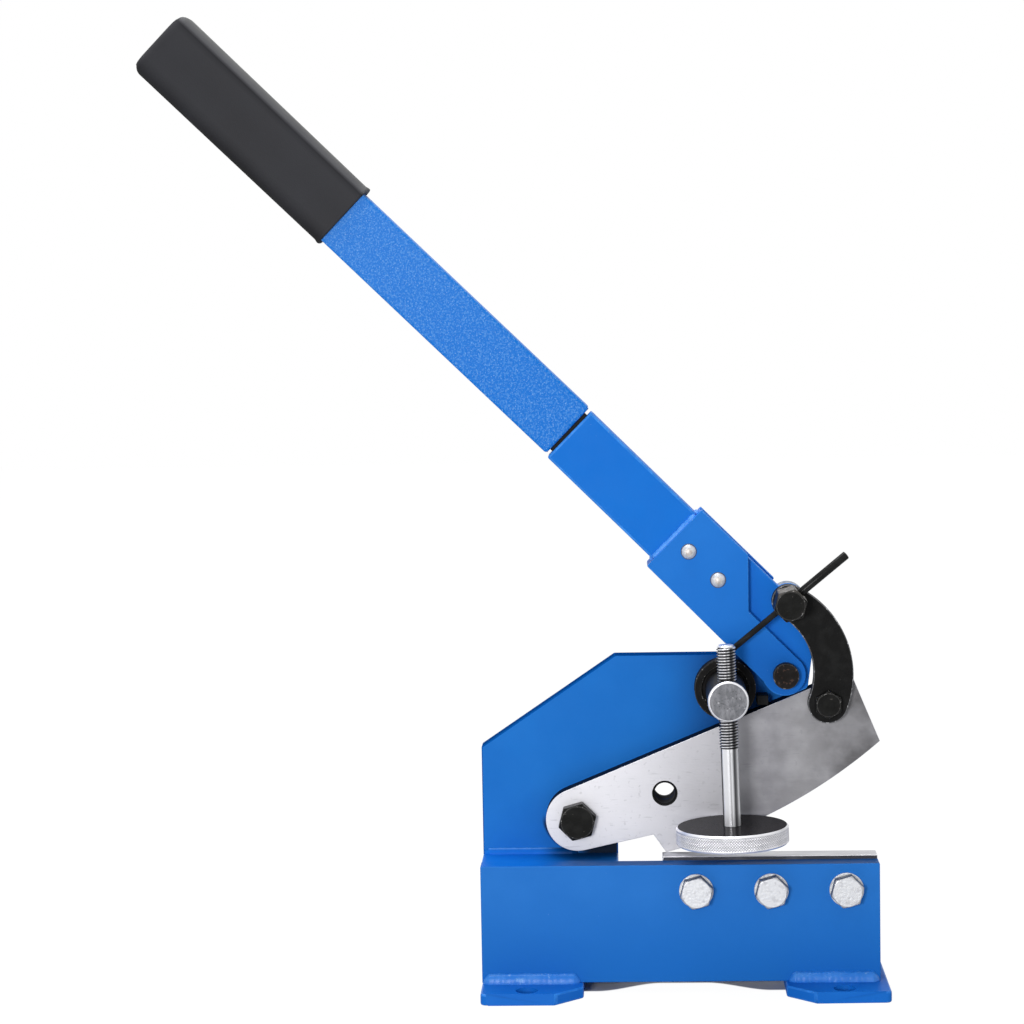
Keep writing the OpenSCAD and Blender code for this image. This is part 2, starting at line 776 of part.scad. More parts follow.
// Bar that runs from the socket tube into the handle tube, midway between their axes
module splice_bar() {
    middle = handle_start - heading(lever_angle) * handle_joint_gap / 2
        - heading(lever_angle - 90) * handle_step / 2;
    color("dimgray") on_axis(middle, lever_angle + handle_lean / 2)
        arm_bar(-splice_len / 2, splice_len, splice_w, splice_depth);
}

module handle_tube() {
    color("cornflowerblue") on_handle() difference() {
        arm_bar(0, handle_len, handle_w, handle_depth);
        arm_bar(-over, handle_len + 2 * over, tube_bore_w, tube_bore_depth);
    }
}

// Soft sleeve with a closed round end, a little wider there than at its mouth
module handle_grip() {
    color("dimgray") on_handle() difference() {
        intersection() {
            translate([0, 0, -grip_depth / 2 - grip_swell]) linear_extrude(grip_depth + 2 * grip_swell)
                translate([0, -grip_offset]) grip_side(grip_w);
            rotate([90, 0, 0]) translate([0, 0, -grip_w])
                linear_extrude(2 * grip_w) grip_side(grip_depth);
        }
        arm_bar(grip_start - over, grip_len - grip_cap + over, handle_w + 2 * grip_fit,
            handle_depth + 2 * grip_fit);
    }
}

// Outline of the grip from one side: it swells towards two round corners
module grip_side(w) {
    r = min(grip_corner_r, w / 2 - over);
    half = w / 2;
    end_half = (w + grip_swell) / 2;
    far = grip_start + grip_len;
    polygon([
        [grip_start, -half], [far - r, -end_half], [far, r - end_half],
        [far, end_half - r], [far - r, end_half], [grip_start, half]
    ]);
    for (side = [-1, 1])
        translate([far - r, side * (end_half - r)]) circle(r);
}

// Bolt that the lever turns on
module lever_pivot_bolt() {
    seat = cheek_front - head_gap;
    color("dimgray") {
        rod(lever_pivot, seat - lever_bolt_head, lever_bolt_head, lever_bolt_head_d);
        rod(lever_pivot, seat, main_back - seat + back_washer_t + nut_t + over, lever_bolt_d);
    }
}

module lever_pivot_washer() {
    color("dimgray") washer(lever_pivot, main_back, back_washer_t, lever_nut_af + 2 * over,
        lever_bolt_d + bolt_slack);
}
// Width across the flats of the lever's nut, from its thread
lever_nut_af = lever_bolt_d * 1.6;

module lever_pivot_nut() {
    color("dimgray") back_nut(lever_pivot, lever_bolt_d, lever_nut_af);
}

// Link: a curved plate from the lever's ear to the upper blade
module link_plate() {
    color("dimgray") difference() {
        sheet(link_front, link_t) {
            spot(link_top, link_top_r);
            spot(link_pin, link_low_r);
            intersection() {
                difference() {
                    spot(link_out_centre, link_out_r);
                    spot(link_in_centre, link_in_r);
                }
                polygon([
                    link_in_centre,
                    link_in_centre + link_wedge_share * (link_top - link_in_centre),
                    link_in_centre + link_wedge_share * (link_pin - link_in_centre)
                ]);
            }
        }
        hole(link_top, link_front, 0, link_screw_d + 2 * running_gap);
        hole(link_pin, link_front, 0, link_pin_d + 2 * thread_slack);
    }
}

// Shouldered pin that the link pulls the blade with
module link_pin_bolt() {
    color("dimgray") {
        hex_bar(link_pin, link_front - link_pin_head, link_pin_head, link_pin_af, hex_turn * 2);
        rod(link_pin, link_front, link_t, link_pin_d);
        rod(link_pin, 0, upper_back * lower_share, pin_tail_d);
    }
}

// Long-headed screw through the link into the lever's ear, turned by its tommy bar
module link_screw() {
    seat = link_front - head_gap;
    color("dimgray") difference() {
        union() {
            hex_bar(link_top, seat - link_screw_head, link_screw_head, link_screw_af, hex_turn);
            rod(link_top, seat, upper_back - seat - head_gap, link_screw_d);
        }
        translate([link_top[0], seat - tommy_seat, link_top[1]]) rotate([0, -tommy_angle, 0])
            translate([-link_screw_af, 0, tommy_rise]) rotate([0, 90, 0])
                cylinder(d = tommy_d + 2 * running_gap, h = 2 * link_screw_af);
    }
}

module tommy_bar() {
    seat = link_front - head_gap;
    color("dimgray") translate([link_top[0], seat - tommy_seat, link_top[1]])
        rotate([0, -tommy_angle, 0]) translate([-tommy_len / 2, 0, tommy_rise]) rotate([0, 90, 0])
            cylinder(d = tommy_d, h = tommy_len);
}

// Boss that spaces the stud from the main plate, with a recess for the stud's head
module clamp_boss() {
    color("dimgray") difference() {
        rod(clamp_axis, main_front - boss_t, boss_t, boss_d);
        rod(clamp_axis, main_front - boss_t - over, boss_recess + over, boss_recess_d);
        hole(clamp_axis, main_front - boss_t, main_front, stud_shank_d + 2 * running_gap);
    }
}

// Turns its children about the stud's axis by the hold-down's tilt
module tilted() {
    translate([clamp_axis[0], 0, clamp_axis[1]]) rotate([0, -clamp_tilt, 0])
        translate([-clamp_axis[0], 0, -clamp_axis[1]]) children();
}

// Stud: a round head, cross-tapped for the hold-down screw, on a shank through the plate
module clamp_stud() {
    head_back = stud_seat - head_gap;
    at = [clamp_axis[0], -screw_front, clamp_axis[1]];
    color("silver") difference() {
        union() {
            rod(clamp_axis, -stud_front, stud_front + head_back, stud_d);
            rod(clamp_axis, head_back, main_back + back_washer_t + nut_t + over - head_back, stud_shank_d);
        }
        tilted() translate(at - [0, 0, stud_d]) cylinder(d = screw_d + 2 * running_gap, h = 2 * stud_d);
    }
}

module clamp_stud_washer() {
    color("silver") washer(clamp_axis, main_back + head_gap, back_washer_t - head_gap,
        stud_d + 2 * over, stud_shank_d + 2 * thread_slack);
}

module clamp_stud_nut() {
    color("silver") back_nut(clamp_axis, stud_shank_d, stud_d);
}

// Hold-down screw: threaded upper part, plain shank and a spigot in the disc
module clamp_screw() {
    spigot = disc_t * lower_share;
    color("silver") tilted() translate([clamp_axis[0], -screw_front, 0]) {
        translate([0, 0, screw_top - screw_thread_len]) cylinder(d = screw_d, h = screw_thread_len);
        translate([0, 0, disc_top + head_gap])
            cylinder(d = screw_shank_d, h = screw_len - screw_thread_len - head_gap + over);
        translate([0, 0, disc_top - spigot]) cylinder(d = spigot_d, h = spigot + head_gap + over);
    }
}

// Knurled disc that presses on the sheet
module clamp_disc() {
    chamfer = disc_t * disc_chamfer_share;
    color("silver") tilted() translate([clamp_axis[0], -screw_front, disc_top - disc_t]) difference() {
        union() {
            cylinder(d1 = disc_d - 2 * chamfer, d2 = disc_d, h = chamfer);
            translate([0, 0, chamfer]) cylinder(d = disc_d, h = disc_t - 2 * chamfer);
            translate([0, 0, disc_t - chamfer]) cylinder(d1 = disc_d, d2 = disc_d - 2 * chamfer, h = chamfer);
        }
        translate([0, 0, disc_t * (1 - lower_share) - running_gap])
            cylinder(d = spigot_d + 2 * running_gap, h = disc_t + over);
    }
}
// Share of the disc's thickness that each chamfer takes
disc_chamfer_share = 0.1;

// Small block that the upper blade's back comes up to
module stop_block() {
    x = lever_pivot[0] - stop_x;
    right = x + stop_w / 2 - back_start[0];
    low = back_start[1] + right * tan(back_angle) + stop_gap;
    color("dimgray") translate([x - stop_w / 2, upper_front, low])
        cube([stop_w, main_front - upper_front, stop_h]);
}

foot_left();
foot_right();
front_plate();
main_plate();
spacer_block();
foot_welds();
ledge_weld();
arm_welds();
lower_blade();
lower_blade_bolts();
lower_blade_washers();
upper_blade();
blade_pivot_bolt();
blade_pivot_washer();
blade_pivot_nut();
lever_core();
front_cheek();
rear_strap();
cheek_screws();
cheek_nuts();
socket_tube();
splice_bar();
handle_tube();
handle_grip();
lever_pivot_bolt();
lever_pivot_washer();
lever_pivot_nut();
link_plate();
link_pin_bolt();
link_screw();
tommy_bar();
clamp_boss();
clamp_stud();
clamp_stud_washer();
clamp_stud_nut();
clamp_screw();
clamp_disc();
stop_block();
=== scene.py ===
# %% [markdown]
# # A bench lever shear
# A lever shear cuts bar and sheet between a fixed lower blade and a swinging upper one. The packed
# model already has every plate, bolt and pivot at its true size. This lesson gives those plates
# their paint, ground steel and vinyl, and makes what a plain solid leaves out: threads, a knurled
# rim, weld beads and a soft grip. All lengths below are in millimetres and are scaled on the way in.
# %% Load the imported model
import json
import math

import bmesh
import bpy
import numpy as np
from mathutils import Matrix, Vector

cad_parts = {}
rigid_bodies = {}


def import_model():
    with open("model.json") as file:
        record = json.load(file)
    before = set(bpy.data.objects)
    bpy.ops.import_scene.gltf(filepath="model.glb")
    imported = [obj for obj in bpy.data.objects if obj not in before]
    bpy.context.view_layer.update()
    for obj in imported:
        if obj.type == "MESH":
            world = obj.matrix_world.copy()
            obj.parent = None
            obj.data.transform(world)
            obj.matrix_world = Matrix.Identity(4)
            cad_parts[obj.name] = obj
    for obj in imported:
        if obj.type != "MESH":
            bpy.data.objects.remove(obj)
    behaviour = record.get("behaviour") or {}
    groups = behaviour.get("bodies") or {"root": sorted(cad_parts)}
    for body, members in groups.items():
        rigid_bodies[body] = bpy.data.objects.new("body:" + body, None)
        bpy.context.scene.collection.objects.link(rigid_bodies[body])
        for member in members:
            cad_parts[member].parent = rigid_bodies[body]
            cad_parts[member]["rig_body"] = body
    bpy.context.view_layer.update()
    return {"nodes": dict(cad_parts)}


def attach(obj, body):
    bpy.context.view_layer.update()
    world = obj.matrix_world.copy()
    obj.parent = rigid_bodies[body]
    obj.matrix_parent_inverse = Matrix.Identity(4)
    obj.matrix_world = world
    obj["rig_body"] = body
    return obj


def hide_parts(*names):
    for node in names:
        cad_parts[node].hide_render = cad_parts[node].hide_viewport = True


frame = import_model()
nodes = frame["nodes"]
mm = 0.001
print("nodes:", len(nodes))

# %% [markdown]
# ## The camera
# The photograph was taken from some distance with a long lens, a little above the base and a little
# to the left of the machine. A long lens keeps the plates nearly free of perspective, and its focal
# length is given here as a share of the sensor's width. A constraint could aim the camera, but a
# matrix built from three directions gives each angle a plain meaning.
# %% Place the camera
focal_share = 2.7055
sensor_width = 36.0
camera_spot = Vector((-27.11, -1454.3, 380.3)) * mm
turn_left = 0.041342
look_down = 0.087304
roll = 0.018001

ahead = Vector((
    -math.sin(turn_left) * math.cos(look_down),
    math.cos(turn_left) * math.cos(look_down),
    -math.sin(look_down),
))
level_right = Vector((math.cos(turn_left), math.sin(turn_left), 0))
level_down = ahead.cross(level_right)
right = math.cos(roll) * level_right + math.sin(roll) * level_down
down = math.cos(roll) * level_down - math.sin(roll) * level_right

lens = bpy.data.cameras.new("camera")
lens.sensor_fit = "HORIZONTAL"
lens.sensor_width = sensor_width
lens.lens = focal_share * sensor_width
camera = bpy.data.objects.new("camera", lens)
turned = Matrix((right, -down, -ahead)).transposed().to_4x4()
camera.matrix_world = Matrix.Translation(camera_spot) @ turned
bpy.context.scene.collection.objects.link(camera)
bpy.context.scene.camera = camera
print("lens:", round(lens.lens, 1), "mm")


# %% [markdown]
# ## Colours and finishes
# A screen colour is not the number that light is summed in, so a helper turns one into the other.
# Every finish starts from one plain shader. Detail is then laid over it in layers: a noise pattern
# or a place on the machine becomes a mask, and the mask mixes in a second colour, a second roughness
# or a slight bump. A painted picture could hold the same detail, but masks stay sharp from close by
# and need no file.
# %% Helpers for finishes
def screen(red, green, blue):
    """Turns a 0-255 screen colour into linear light: small values are divided by 12.92, and the
    others are shifted by 0.055, scaled and raised to the power 2.4."""
    share = np.array([red, green, blue]) / 255
    light = np.where(share > 0.04045, ((share + 0.055) / 1.055) ** 2.4, share / 12.92)
    return (*light.tolist(), 1.0)


def paler(colour, step):
    """Adds the same step to all three numbers of a screen colour, up to white."""
    return tuple(min(255, part + step) for part in colour)


def add_node(tree, kind, **values):
    """Adds a node to a tree and sets its inputs by name."""
    node = tree.nodes.new(kind)
    for name, value in values.items():
        node.inputs[name.replace("_", " ")].default_value = value
    return node


def calculate(tree, operation, *values):
    """Adds a Math node whose inputs are sockets or plain numbers, and gives its result."""
    node = tree.nodes.new("ShaderNodeMath")
    node.operation = operation
    for value, socket in zip(values, node.inputs):
        if isinstance(value, bpy.types.NodeSocket):
            tree.links.new(value, socket)
        else:
            socket.default_value = value
    return node.outputs[0]


def fade(tree, value, start, end, low=0.0, high=1.0, smooth=False):
    """Turns a value that runs from start to end into one that runs from low to high, and holds it
    there outside that range."""
    node = add_node(tree, "ShaderNodeMapRange", From_Min=start, From_Max=end, To_Min=low, To_Max=high)
    if smooth:
        node.interpolation_type = "SMOOTHSTEP"
    tree.links.new(value, node.inputs["Value"])
    return node.outputs[0]


class Finish:
    """A material whose detail is laid on in layers, each over the last."""

    def __init__(self, name, colour, roughness, metallic=0.0, specular=0.5):
        self.material = bpy.data.materials.new(name)
        self.material.use_nodes = True
        self.tree = self.material.node_tree
        self.shader = self.tree.nodes["Principled BSDF"]
        self.shader.inputs["Base Color"].default_value = screen(*colour)
        self.shader.inputs["Roughness"].default_value = roughness
        self.shader.inputs["Metallic"].default_value = metallic
        self.shader.inputs["Specular IOR Level"].default_value = specular
        self.place = self.tree.nodes.new("ShaderNodeTexCoord").outputs["Object"]

    def spots(self, size, low, high, stretch=(1, 1, 1)):
        """Makes a mask of noise with spots of about one size in millimetres. It is 0 below low, 1
        above high and runs between the two."""
        turn = add_node(self.tree, "ShaderNodeMapping", Scale=stretch)
        noise = add_node(self.tree, "ShaderNodeTexNoise", Scale=1 / (size * mm), Detail=3)
        self.tree.links.new(self.place, turn.inputs["Vector"])
        self.tree.links.new(turn.outputs[0], noise.inputs["Vector"])
        return fade(self.tree, noise.outputs[0], low, high)

    def along(self, axis, start, end):
        """Makes a mask that runs from 0 to 1 between two places along X, Y or Z."""
        parts = self.tree.nodes.new("ShaderNodeSeparateXYZ")
        self.tree.links.new(self.place, parts.inputs[0])
        return fade(self.tree, parts.outputs[axis], start * mm, end * mm, smooth=True)

    def near(self, spot, inner, outer):
        """Makes a mask that is 1 within a distance of the line along Y through an (x, z) spot, and
        falls to 0 at a second distance."""
        to_spot = (-spot[0] * mm, 0, -spot[1] * mm)
        shift = add_node(self.tree, "ShaderNodeMapping", Scale=(1, 0, 1), Location=to_spot)
        length = self.tree.nodes.new("ShaderNodeVectorMath")
        length.operation = "LENGTH"
        self.tree.links.new(self.place, shift.inputs["Vector"])
        self.tree.links.new(shift.outputs[0], length.inputs[0])
        return fade(self.tree, length.outputs["Value"], outer * mm, inner * mm)

    def both(self, *masks):
        """Multiplies masks, so that the result is 1 only where all of them are."""
        joined = masks[0]
        for mask in masks[1:]:
            joined = calculate(self.tree, "MULTIPLY", joined, mask)
        return joined

    def streaks(self, attribute, stops):
        """Colours the surface by a 0-1 attribute, through a list of (place, grey) stops."""
        source = self.tree.nodes.new("ShaderNodeAttribute")
        source.attribute_name = attribute
        band = self.tree.nodes.new("ShaderNodeValToRGB")
        for place, grey in stops[1:-1]:
            band.color_ramp.elements.new(place).color = screen(grey, grey, grey + 3)
        for end in (0, -1):
            band.color_ramp.elements[end].color = screen(*[stops[end][1]] * 3)
        self.tree.links.new(source.outputs["Fac"], band.inputs["Fac"])
        self.tree.links.new(band.outputs[0], self.shader.inputs["Base Color"])

    def colour(self, mask, colour, strength=1.0):
        """Mixes a colour over what is there, by a mask. The Mix node's colours are its inputs 6 and
        7, and its mixed colour is output 2."""
        mix = self.tree.nodes.new("ShaderNodeMix")
        mix.data_type = "RGBA"
        base = self.shader.inputs["Base Color"]
        if base.is_linked:
            self.tree.links.new(base.links[0].from_socket, mix.inputs[6])
        else:
            mix.inputs[6].default_value = base.default_value
        mix.inputs[7].default_value = screen(*colour)
        self.tree.links.new(calculate(self.tree, "MULTIPLY", mask, strength), mix.inputs[0])
        self.tree.links.new(mix.outputs[2], base)

    def speckle(self, size, low, high, colour, strength, stretch=(1, 1, 1)):
        """Mixes a colour over spots of noise."""
        self.colour(self.spots(size, low, high, stretch), colour, strength)

    def roughness(self, mask, value):
        """Changes the roughness towards a value, by a mask. The Mix node's numbers are its inputs 2
        and 3."""
        mix = self.tree.nodes.new("ShaderNodeMix")
        mix.inputs[2].default_value = self.shader.inputs["Roughness"].default_value
        mix.inputs[3].default_value = value
        self.tree.links.new(mask, mix.inputs[0])
        self.tree.links.new(mix.outputs[0], self.shader.inputs["Roughness"])

    def grain(self, size, low, high, height, stretch=(1, 1, 1)):
        """Raises spots of noise by a height in millimetres."""
        lift = add_node(self.tree, "ShaderNodeBump", Strength=1.0, Distance=height * mm)
        old = self.shader.inputs["Normal"]
        if old.is_linked:
            self.tree.links.new(old.links[0].from_socket, lift.inputs["Normal"])
        self.tree.links.new(self.spots(size, low, high, stretch), lift.inputs["Height"])
        self.tree.links.new(lift.outputs[0], old)


# %% [markdown]
# ## Painted steel
# The frame is sprayed in one thin coat of blue, and the light falls on each plate a little
# differently, so each group of plates gets its own shade. The coat has a slight orange peel, a few
# paler clouds and rare specks. The lever and the blade throw a soft shade on the column, which lamps
# alone leave too faint, so ramps along X and Z deepen it as painted shade, and a dark half ring of
# painted shade lies under the blade's eye. Edges are where paint thins, so a paler, chipped finish
# waits for them.
# %% Helpers for paint
on_front = ("Y", 16, 13)
below_eye = ("Z", 90, 82)
eye_shade = (2, 22, 52)


def paint(name, colour, cloud=7, shades=(), ring=None):
    """Sprayed paint: a base colour, broad paler clouds, fine orange peel and rare pale specks. Each
    shade or highlight is a colour and the (axis, start, end) ramps that together bound it, painted
    in. A ring is a spot and two distances, between which a dark half ring of painted shade fades out
    on the front."""
    coat = Finish(name, colour, 0.45, specular=0.1)
    coat.speckle(28, 0.4, 0.7, paler(colour, cloud), 0.6)
    for dark, *ramps in shades:
        coat.colour(coat.both(*(coat.along(*ramp) for ramp in ramps)), dark)
    if ring:
        lower_front = coat.both(coat.along(*on_front), coat.along(*below_eye))
        coat.colour(coat.both(coat.near(*ring), lower_front), eye_shade)
    coat.speckle(1.1, 0.755, 0.78, (120, 165, 225), 0.5)
    coat.roughness(coat.spots(9, 0.4, 0.65), 0.5)
    coat.grain(1.4, 0.3, 0.7, 0.02)
    return coat


def thin_edge(name, colour):
    """Thin paint on an edge: a paler blue with small chips that show grey primer."""
    coat = Finish(name, colour, 0.42, specular=0.2)
    coat.speckle(5, 0.5, 0.62, paler(colour, 22), 0.7)
    coat.speckle(1.3, 0.68, 0.71, (150, 188, 228), 0.7)
    coat.grain(1.8, 0.35, 0.65, 0.05)
    return coat


# %% Make the paints
blade_eye = (-55.35, 87.9)
# The front plate darkens towards its foot: painted shade.
front_blue = paint("front_blue", (35, 115, 200), shades=[((22, 107, 193), ("Z", 62, 10))])
# The column's ramps and the half ring under the blade's eye are painted shade.
plate_blue = paint("plate_blue", (18, 112, 200), ring=(blade_eye, 18.2, 19.6), shades=[
    ((0, 60, 128), ("X", -12, 36), on_front),
    ((18, 112, 200), ("X", 34, 48), on_front),
    ((0, 20, 44), ("X", -62, -48), ("Z", 77, 73), ("Z", 60, 66), on_front),
])
# The ledge darkens under the blade's eye: painted shade.
ledge_blue = paint("ledge_blue", (7, 112, 215), shades=[((0, 74, 140), ("X", -82, -52))])
# The ledge bead has a pale line along its top, a painted highlight, and darkens under the blade's eye, a
# painted shade.
toe_blue = paint("toe_blue", (12, 110, 212), shades=[
    ((96, 164, 238), ("Z", 70.0, 70.5)), ((0, 60, 120), ("X", -78, -60)),
])
foot_blue = paint("foot_blue", (18, 106, 200))
# The cheek darkens towards its lower end: painted shade.
cheek_blue = paint("cheek_blue", (24, 115, 208), shades=[((12, 103, 196), ("Z", 198, 174))])
core_blue = paint("core_blue", (10, 112, 212))
socket_blue = paint("socket_blue", (4, 112, 210), cloud=5)
edge_blue = thin_edge("edge_blue", (44, 128, 218))
bore_grey = Finish("bore_grey", (92, 92, 96), 0.6, specular=0.0)
# The column's bevels, its top and its shoulder take darker blues with no sheen: painted shade.
shaded_edge = Finish("shaded_edge", (8, 84, 164), 0.6, specular=0.0)
shaded_top = Finish("shaded_top", (8, 70, 140), 0.6, specular=0.0)
ear_worn = Finish("ear_worn", (150, 158, 168), 0.45, metallic=0.5)
ear_worn.speckle(2.5, 0.45, 0.6, (60, 90, 130), 0.7)
foot_edge = thin_edge("foot_edge", (30, 116, 209))
# The pale streaks and flecks on the foot beads are painted highlights on their ripples.
weld_blue = Finish("weld_blue", (36, 122, 214), 0.36, specular=0.3)
weld_blue.speckle(5, 0.42, 0.64, (74, 144, 224), 0.7, (0.35, 1, 1))
weld_blue.speckle(2.6, 0.62, 0.72, (130, 182, 236), 0.6, (1, 1, 0.5))
weld_blue.grain(1.8, 0.35, 0.65, 0.05)
# The arm's beads are a pale blue where their round faces catch the light: a painted highlight.
weld_bright = Finish("weld_bright", (84, 156, 240), 0.4, specular=0.3)
weld_bright.speckle(4, 0.45, 0.6, (48, 132, 226), 0.7)
print("paints:", len(bpy.data.materials))

# %% [markdown]
# ## Hammered paint
# The handle's tube has a coat that was left to pull into small dimples, paler where it is thin. A
# voronoi pattern gives round cells, but the real ones run together, so layers of noise do it, each
# at its own size and blue, with a bump under them.
# %% Make the hammered paint
hammer_blue = Finish("hammer_blue", (6, 114, 210), 0.42, specular=0.12)
# The tube grows lighter towards its top end: painted light.
hammer_blue.colour(hammer_blue.along("Z", 300, 430), (62, 134, 220), 0.35)
hammer_blue.speckle(1.1, 0.5, 0.62, (92, 158, 230), 0.5)
hammer_blue.speckle(0.7, 0.6, 0.68, (156, 198, 240), 0.55)
hammer_blue.speckle(1.5, 0.38, 0.3, (14, 106, 206), 0.4)
hammer_blue.grain(1.5, 0.35, 0.65, 0.09)
print("paints:", len(bpy.data.materials))

# %% [markdown]
# ## Bare and blackened metal
# The blades are ground steel, the lower bolts are zinc-plated, the hold-down is turned bright steel
# and the pivots and the link are blackened. Ground steel reflects a blurred studio, so it is bright
# on the left and greyer towards its free end. A lit picture of a studio could give that, but four
# ramps along X hold it in place as the blade turns. The marks of grinding are long and fine, which a
# stretched noise gives.
# %% Make the steels
ground_steel = Finish("ground_steel", (221, 220, 225), 0.46, metallic=0.35)
for start, end, grey in (
    (-40, 20, (186, 185, 190)), (22, 42, (132, 131, 136)),
    (44, 64, (142, 141, 144)), (66, 92, (96, 95, 97)),
):
    ground_steel.colour(ground_steel.along("X", start, end), grey)
ground_steel.speckle(16, 0.4, 0.65, (206, 205, 210), 0.25)
ground_steel.speckle(2.6, 0.62, 0.7, (124, 124, 128), 0.25)
ground_steel.speckle(3.2, 0.62, 0.7, (120, 120, 126), 0.25, (0.3, 1, 2.5))
ground_steel.roughness(ground_steel.spots(1.2, 0.4, 0.6, (0.12, 1, 1)), 0.36)
ground_steel.grain(0.9, 0.3, 0.7, 0.012, (0.2, 1, 1))

bright_edge = Finish("bright_edge", (236, 236, 240), 0.35, metallic=0.8)

lower_steel = Finish("lower_steel", (206, 206, 210), 0.38, metallic=0.85)
lower_steel.speckle(8, 0.4, 0.6, (176, 176, 182), 0.5, (0.3, 1, 1))
lower_steel.grain(0.9, 0.3, 0.7, 0.012, (0.15, 1, 1))

dull_steel = Finish("dull_steel", (62, 62, 68), 0.5, metallic=0.6)
dull_steel.speckle(5, 0.45, 0.62, (96, 96, 102), 0.5, (0.4, 1, 1))
# The upper blade's sides take a dark navy: painted shade.
blade_side_shade = Finish("blade_side_shade", (22, 38, 60), 0.6, specular=0.0)
print("steels:", sum("steel" in material.name for material in bpy.data.materials))

# %% Make the zinc
# The flats, the slope and the dome's middle take darker greys than the bright top: painted shade and
# painted highlight, by the way each face meets the light.
zinc_shaded_side = Finish("zinc_shaded_side", (104, 106, 110), 0.5, metallic=0.5)
zinc_slope = Finish("zinc_slope", (190, 191, 195), 0.45, metallic=0.6)
zinc_middle = Finish("zinc_middle", (206, 200, 196), 0.5, metallic=0.5)
zinc_middle.speckle(1.6, 0.45, 0.6, (176, 166, 162), 0.7)
zinc = Finish("zinc", (214, 215, 218), 0.45, metallic=0.6)
zinc.speckle(2.4, 0.55, 0.66, (184, 184, 188), 0.6)
zinc.speckle(1.0, 0.62, 0.7, (244, 244, 246), 0.6)
zinc.grain(1.4, 0.35, 0.65, 0.05)
print("zincs:", sum("zinc" in material.name for material in bpy.data.materials))

# %% [markdown]
# ## The hold-down's steel
# The screw's shank is drawn bar, polished until it mirrors the room in narrow upright streaks. Plain
# reflections of a white room would leave it blank, so a list of greys runs round it by bearing. The
# stud's face is worn and blotched, and the disc's top is dark and smooth.
# %% Make the turned steels
turned_steel = Finish("turned_steel", (220, 220, 224), 0.3, metallic=0.5)
turned_steel.streaks("bearing", [
    (0.0, 150), (0.15, 220), (0.28, 24), (0.32, 50), (0.355, 255), (0.465, 225), (0.5, 165),
    (0.528, 250), (0.57, 60), (0.61, 110), (0.67, 255), (0.74, 130), (1.0, 150),
])
turned_steel.grain(0.8, 0.3, 0.7, 0.006, (0.2, 0.2, 6))

stud_steel = Finish("stud_steel", (100, 101, 105), 0.38, metallic=0.7)
stud_steel.speckle(2.4, 0.42, 0.62, (136, 136, 141), 0.6, (1, 1, 0.5))
stud_steel.speckle(1.1, 0.6, 0.68, (62, 62, 64), 0.6)
stud_steel.speckle(1.6, 0.66, 0.74, (190, 190, 195), 0.5)

stud_side = Finish("stud_side", (26, 26, 26), 0.5, metallic=0.1, specular=0.1)

disc_face = Finish("disc_face", (44, 42, 45), 0.18, metallic=0.25, specular=0.0)
disc_face.speckle(12, 0.4, 0.6, (36, 35, 37), 0.6)
print("materials:", len(bpy.data.materials))


# %% [markdown]
# ## Black oxide and vinyl
# The pivots, the link and the boss are blackened, which is a skin a few thousandths thick that wears
# off at edges first. One helper makes them all, with more wear where hands and tools rub. The grip's
# vinyl is dull, with a painted shade at its lower edge and a painted highlight along its upper one.
# %% Make the blacks
def blackened(name, colour, worn, amount, roughness=0.42):
    """Black oxide: a dark base, dull grey clouds and small bare flecks that more wear makes wider."""
    oxide = Finish(name, colour, roughness, metallic=0.1, specular=0.08)
    oxide.speckle(6, 0.45, 0.65, paler(colour, 14), 0.6)
    oxide.speckle(1.6, 0.72 - amount, 0.76 - amount, worn, 0.8)
    oxide.grain(1.0, 0.35, 0.65, 0.03)
    return oxide


black = blackened("black_oxide", (20, 20, 19), (84, 80, 76), 0.02)
black_edge = blackened("black_edge", (52, 51, 50), (150, 148, 146), 0.12)
link_black = blackened("link_black", (19, 19, 19), (60, 60, 60), 0.0, 0.5)
# The link's cut edges take a mid grey: worn oxide and a painted sheen where the edges catch the light.
link_edge_sheen = blackened("link_edge_sheen", (96, 96, 98), (190, 190, 192), 0.14)
boss_black = blackened("boss_black", (22, 21, 21), (60, 58, 57), 0.0, 0.6)
# The link screw's upper flats take a lighter base: a painted highlight, with worn flecks over it.
worn_lit_black = blackened("worn_lit_black", (78, 74, 70), (176, 172, 168), 0.14, 0.35)
pivot_black = blackened("pivot_black", (24, 21, 20), (78, 58, 50), 0.1, 0.5)
rod_black = blackened("rod_black", (30, 30, 30), (90, 90, 90), 0.0, 0.25)
# A flat black stands for the shade in the blade's bar-hole chamfer and round the splice bar and the stop
# block: painted shade, over the dark steel of the bar and the block.
shade_black = Finish("shade_black", (14, 14, 15), 0.6, specular=0.2)
print("materials:", len(bpy.data.materials))

# %% Make the vinyl
vinyl = Finish("vinyl", (54, 55, 60), 0.62, specular=0.08)
# The greys across the grip paint a shade along its lower edge and a highlight along its upper one.
vinyl.streaks("across", [
    (0.0, 36), (0.08, 38), (0.16, 48), (0.24, 54), (0.5, 53), (0.8, 56), (0.86, 50), (0.885, 43),
    (0.905, 66), (0.93, 92), (1.0, 106),
])
vinyl.speckle(30, 0.4, 0.7, (60, 61, 66), 0.25)
vinyl.grain(0.8, 0.35, 0.65, 0.015)
vinyl.grain(16, 0.3, 0.7, 0.12)
print("materials:", len(bpy.data.materials))


# %% [markdown]
# ## Rounding the edges of the plates
# A cut plate never has a perfectly sharp edge, and the thin line of light along it is what makes a
# plate look solid. The material could fake it, but only a real bevel shows at the outline. A copy of
# each plate is welded into one skin, its flat triangles are joined, and a narrow bevel goes along
# its edges. The bevel's faces take a second finish, which puts the worn paint exactly where it
# wears. A last step lets the large faces set the shading, so that they stay flat up to the bevel.
# %% Dress a plate
weld_gap = 0.002 * mm
flat_angle = math.radians(0.4)
sharp_angle = math.radians(30)


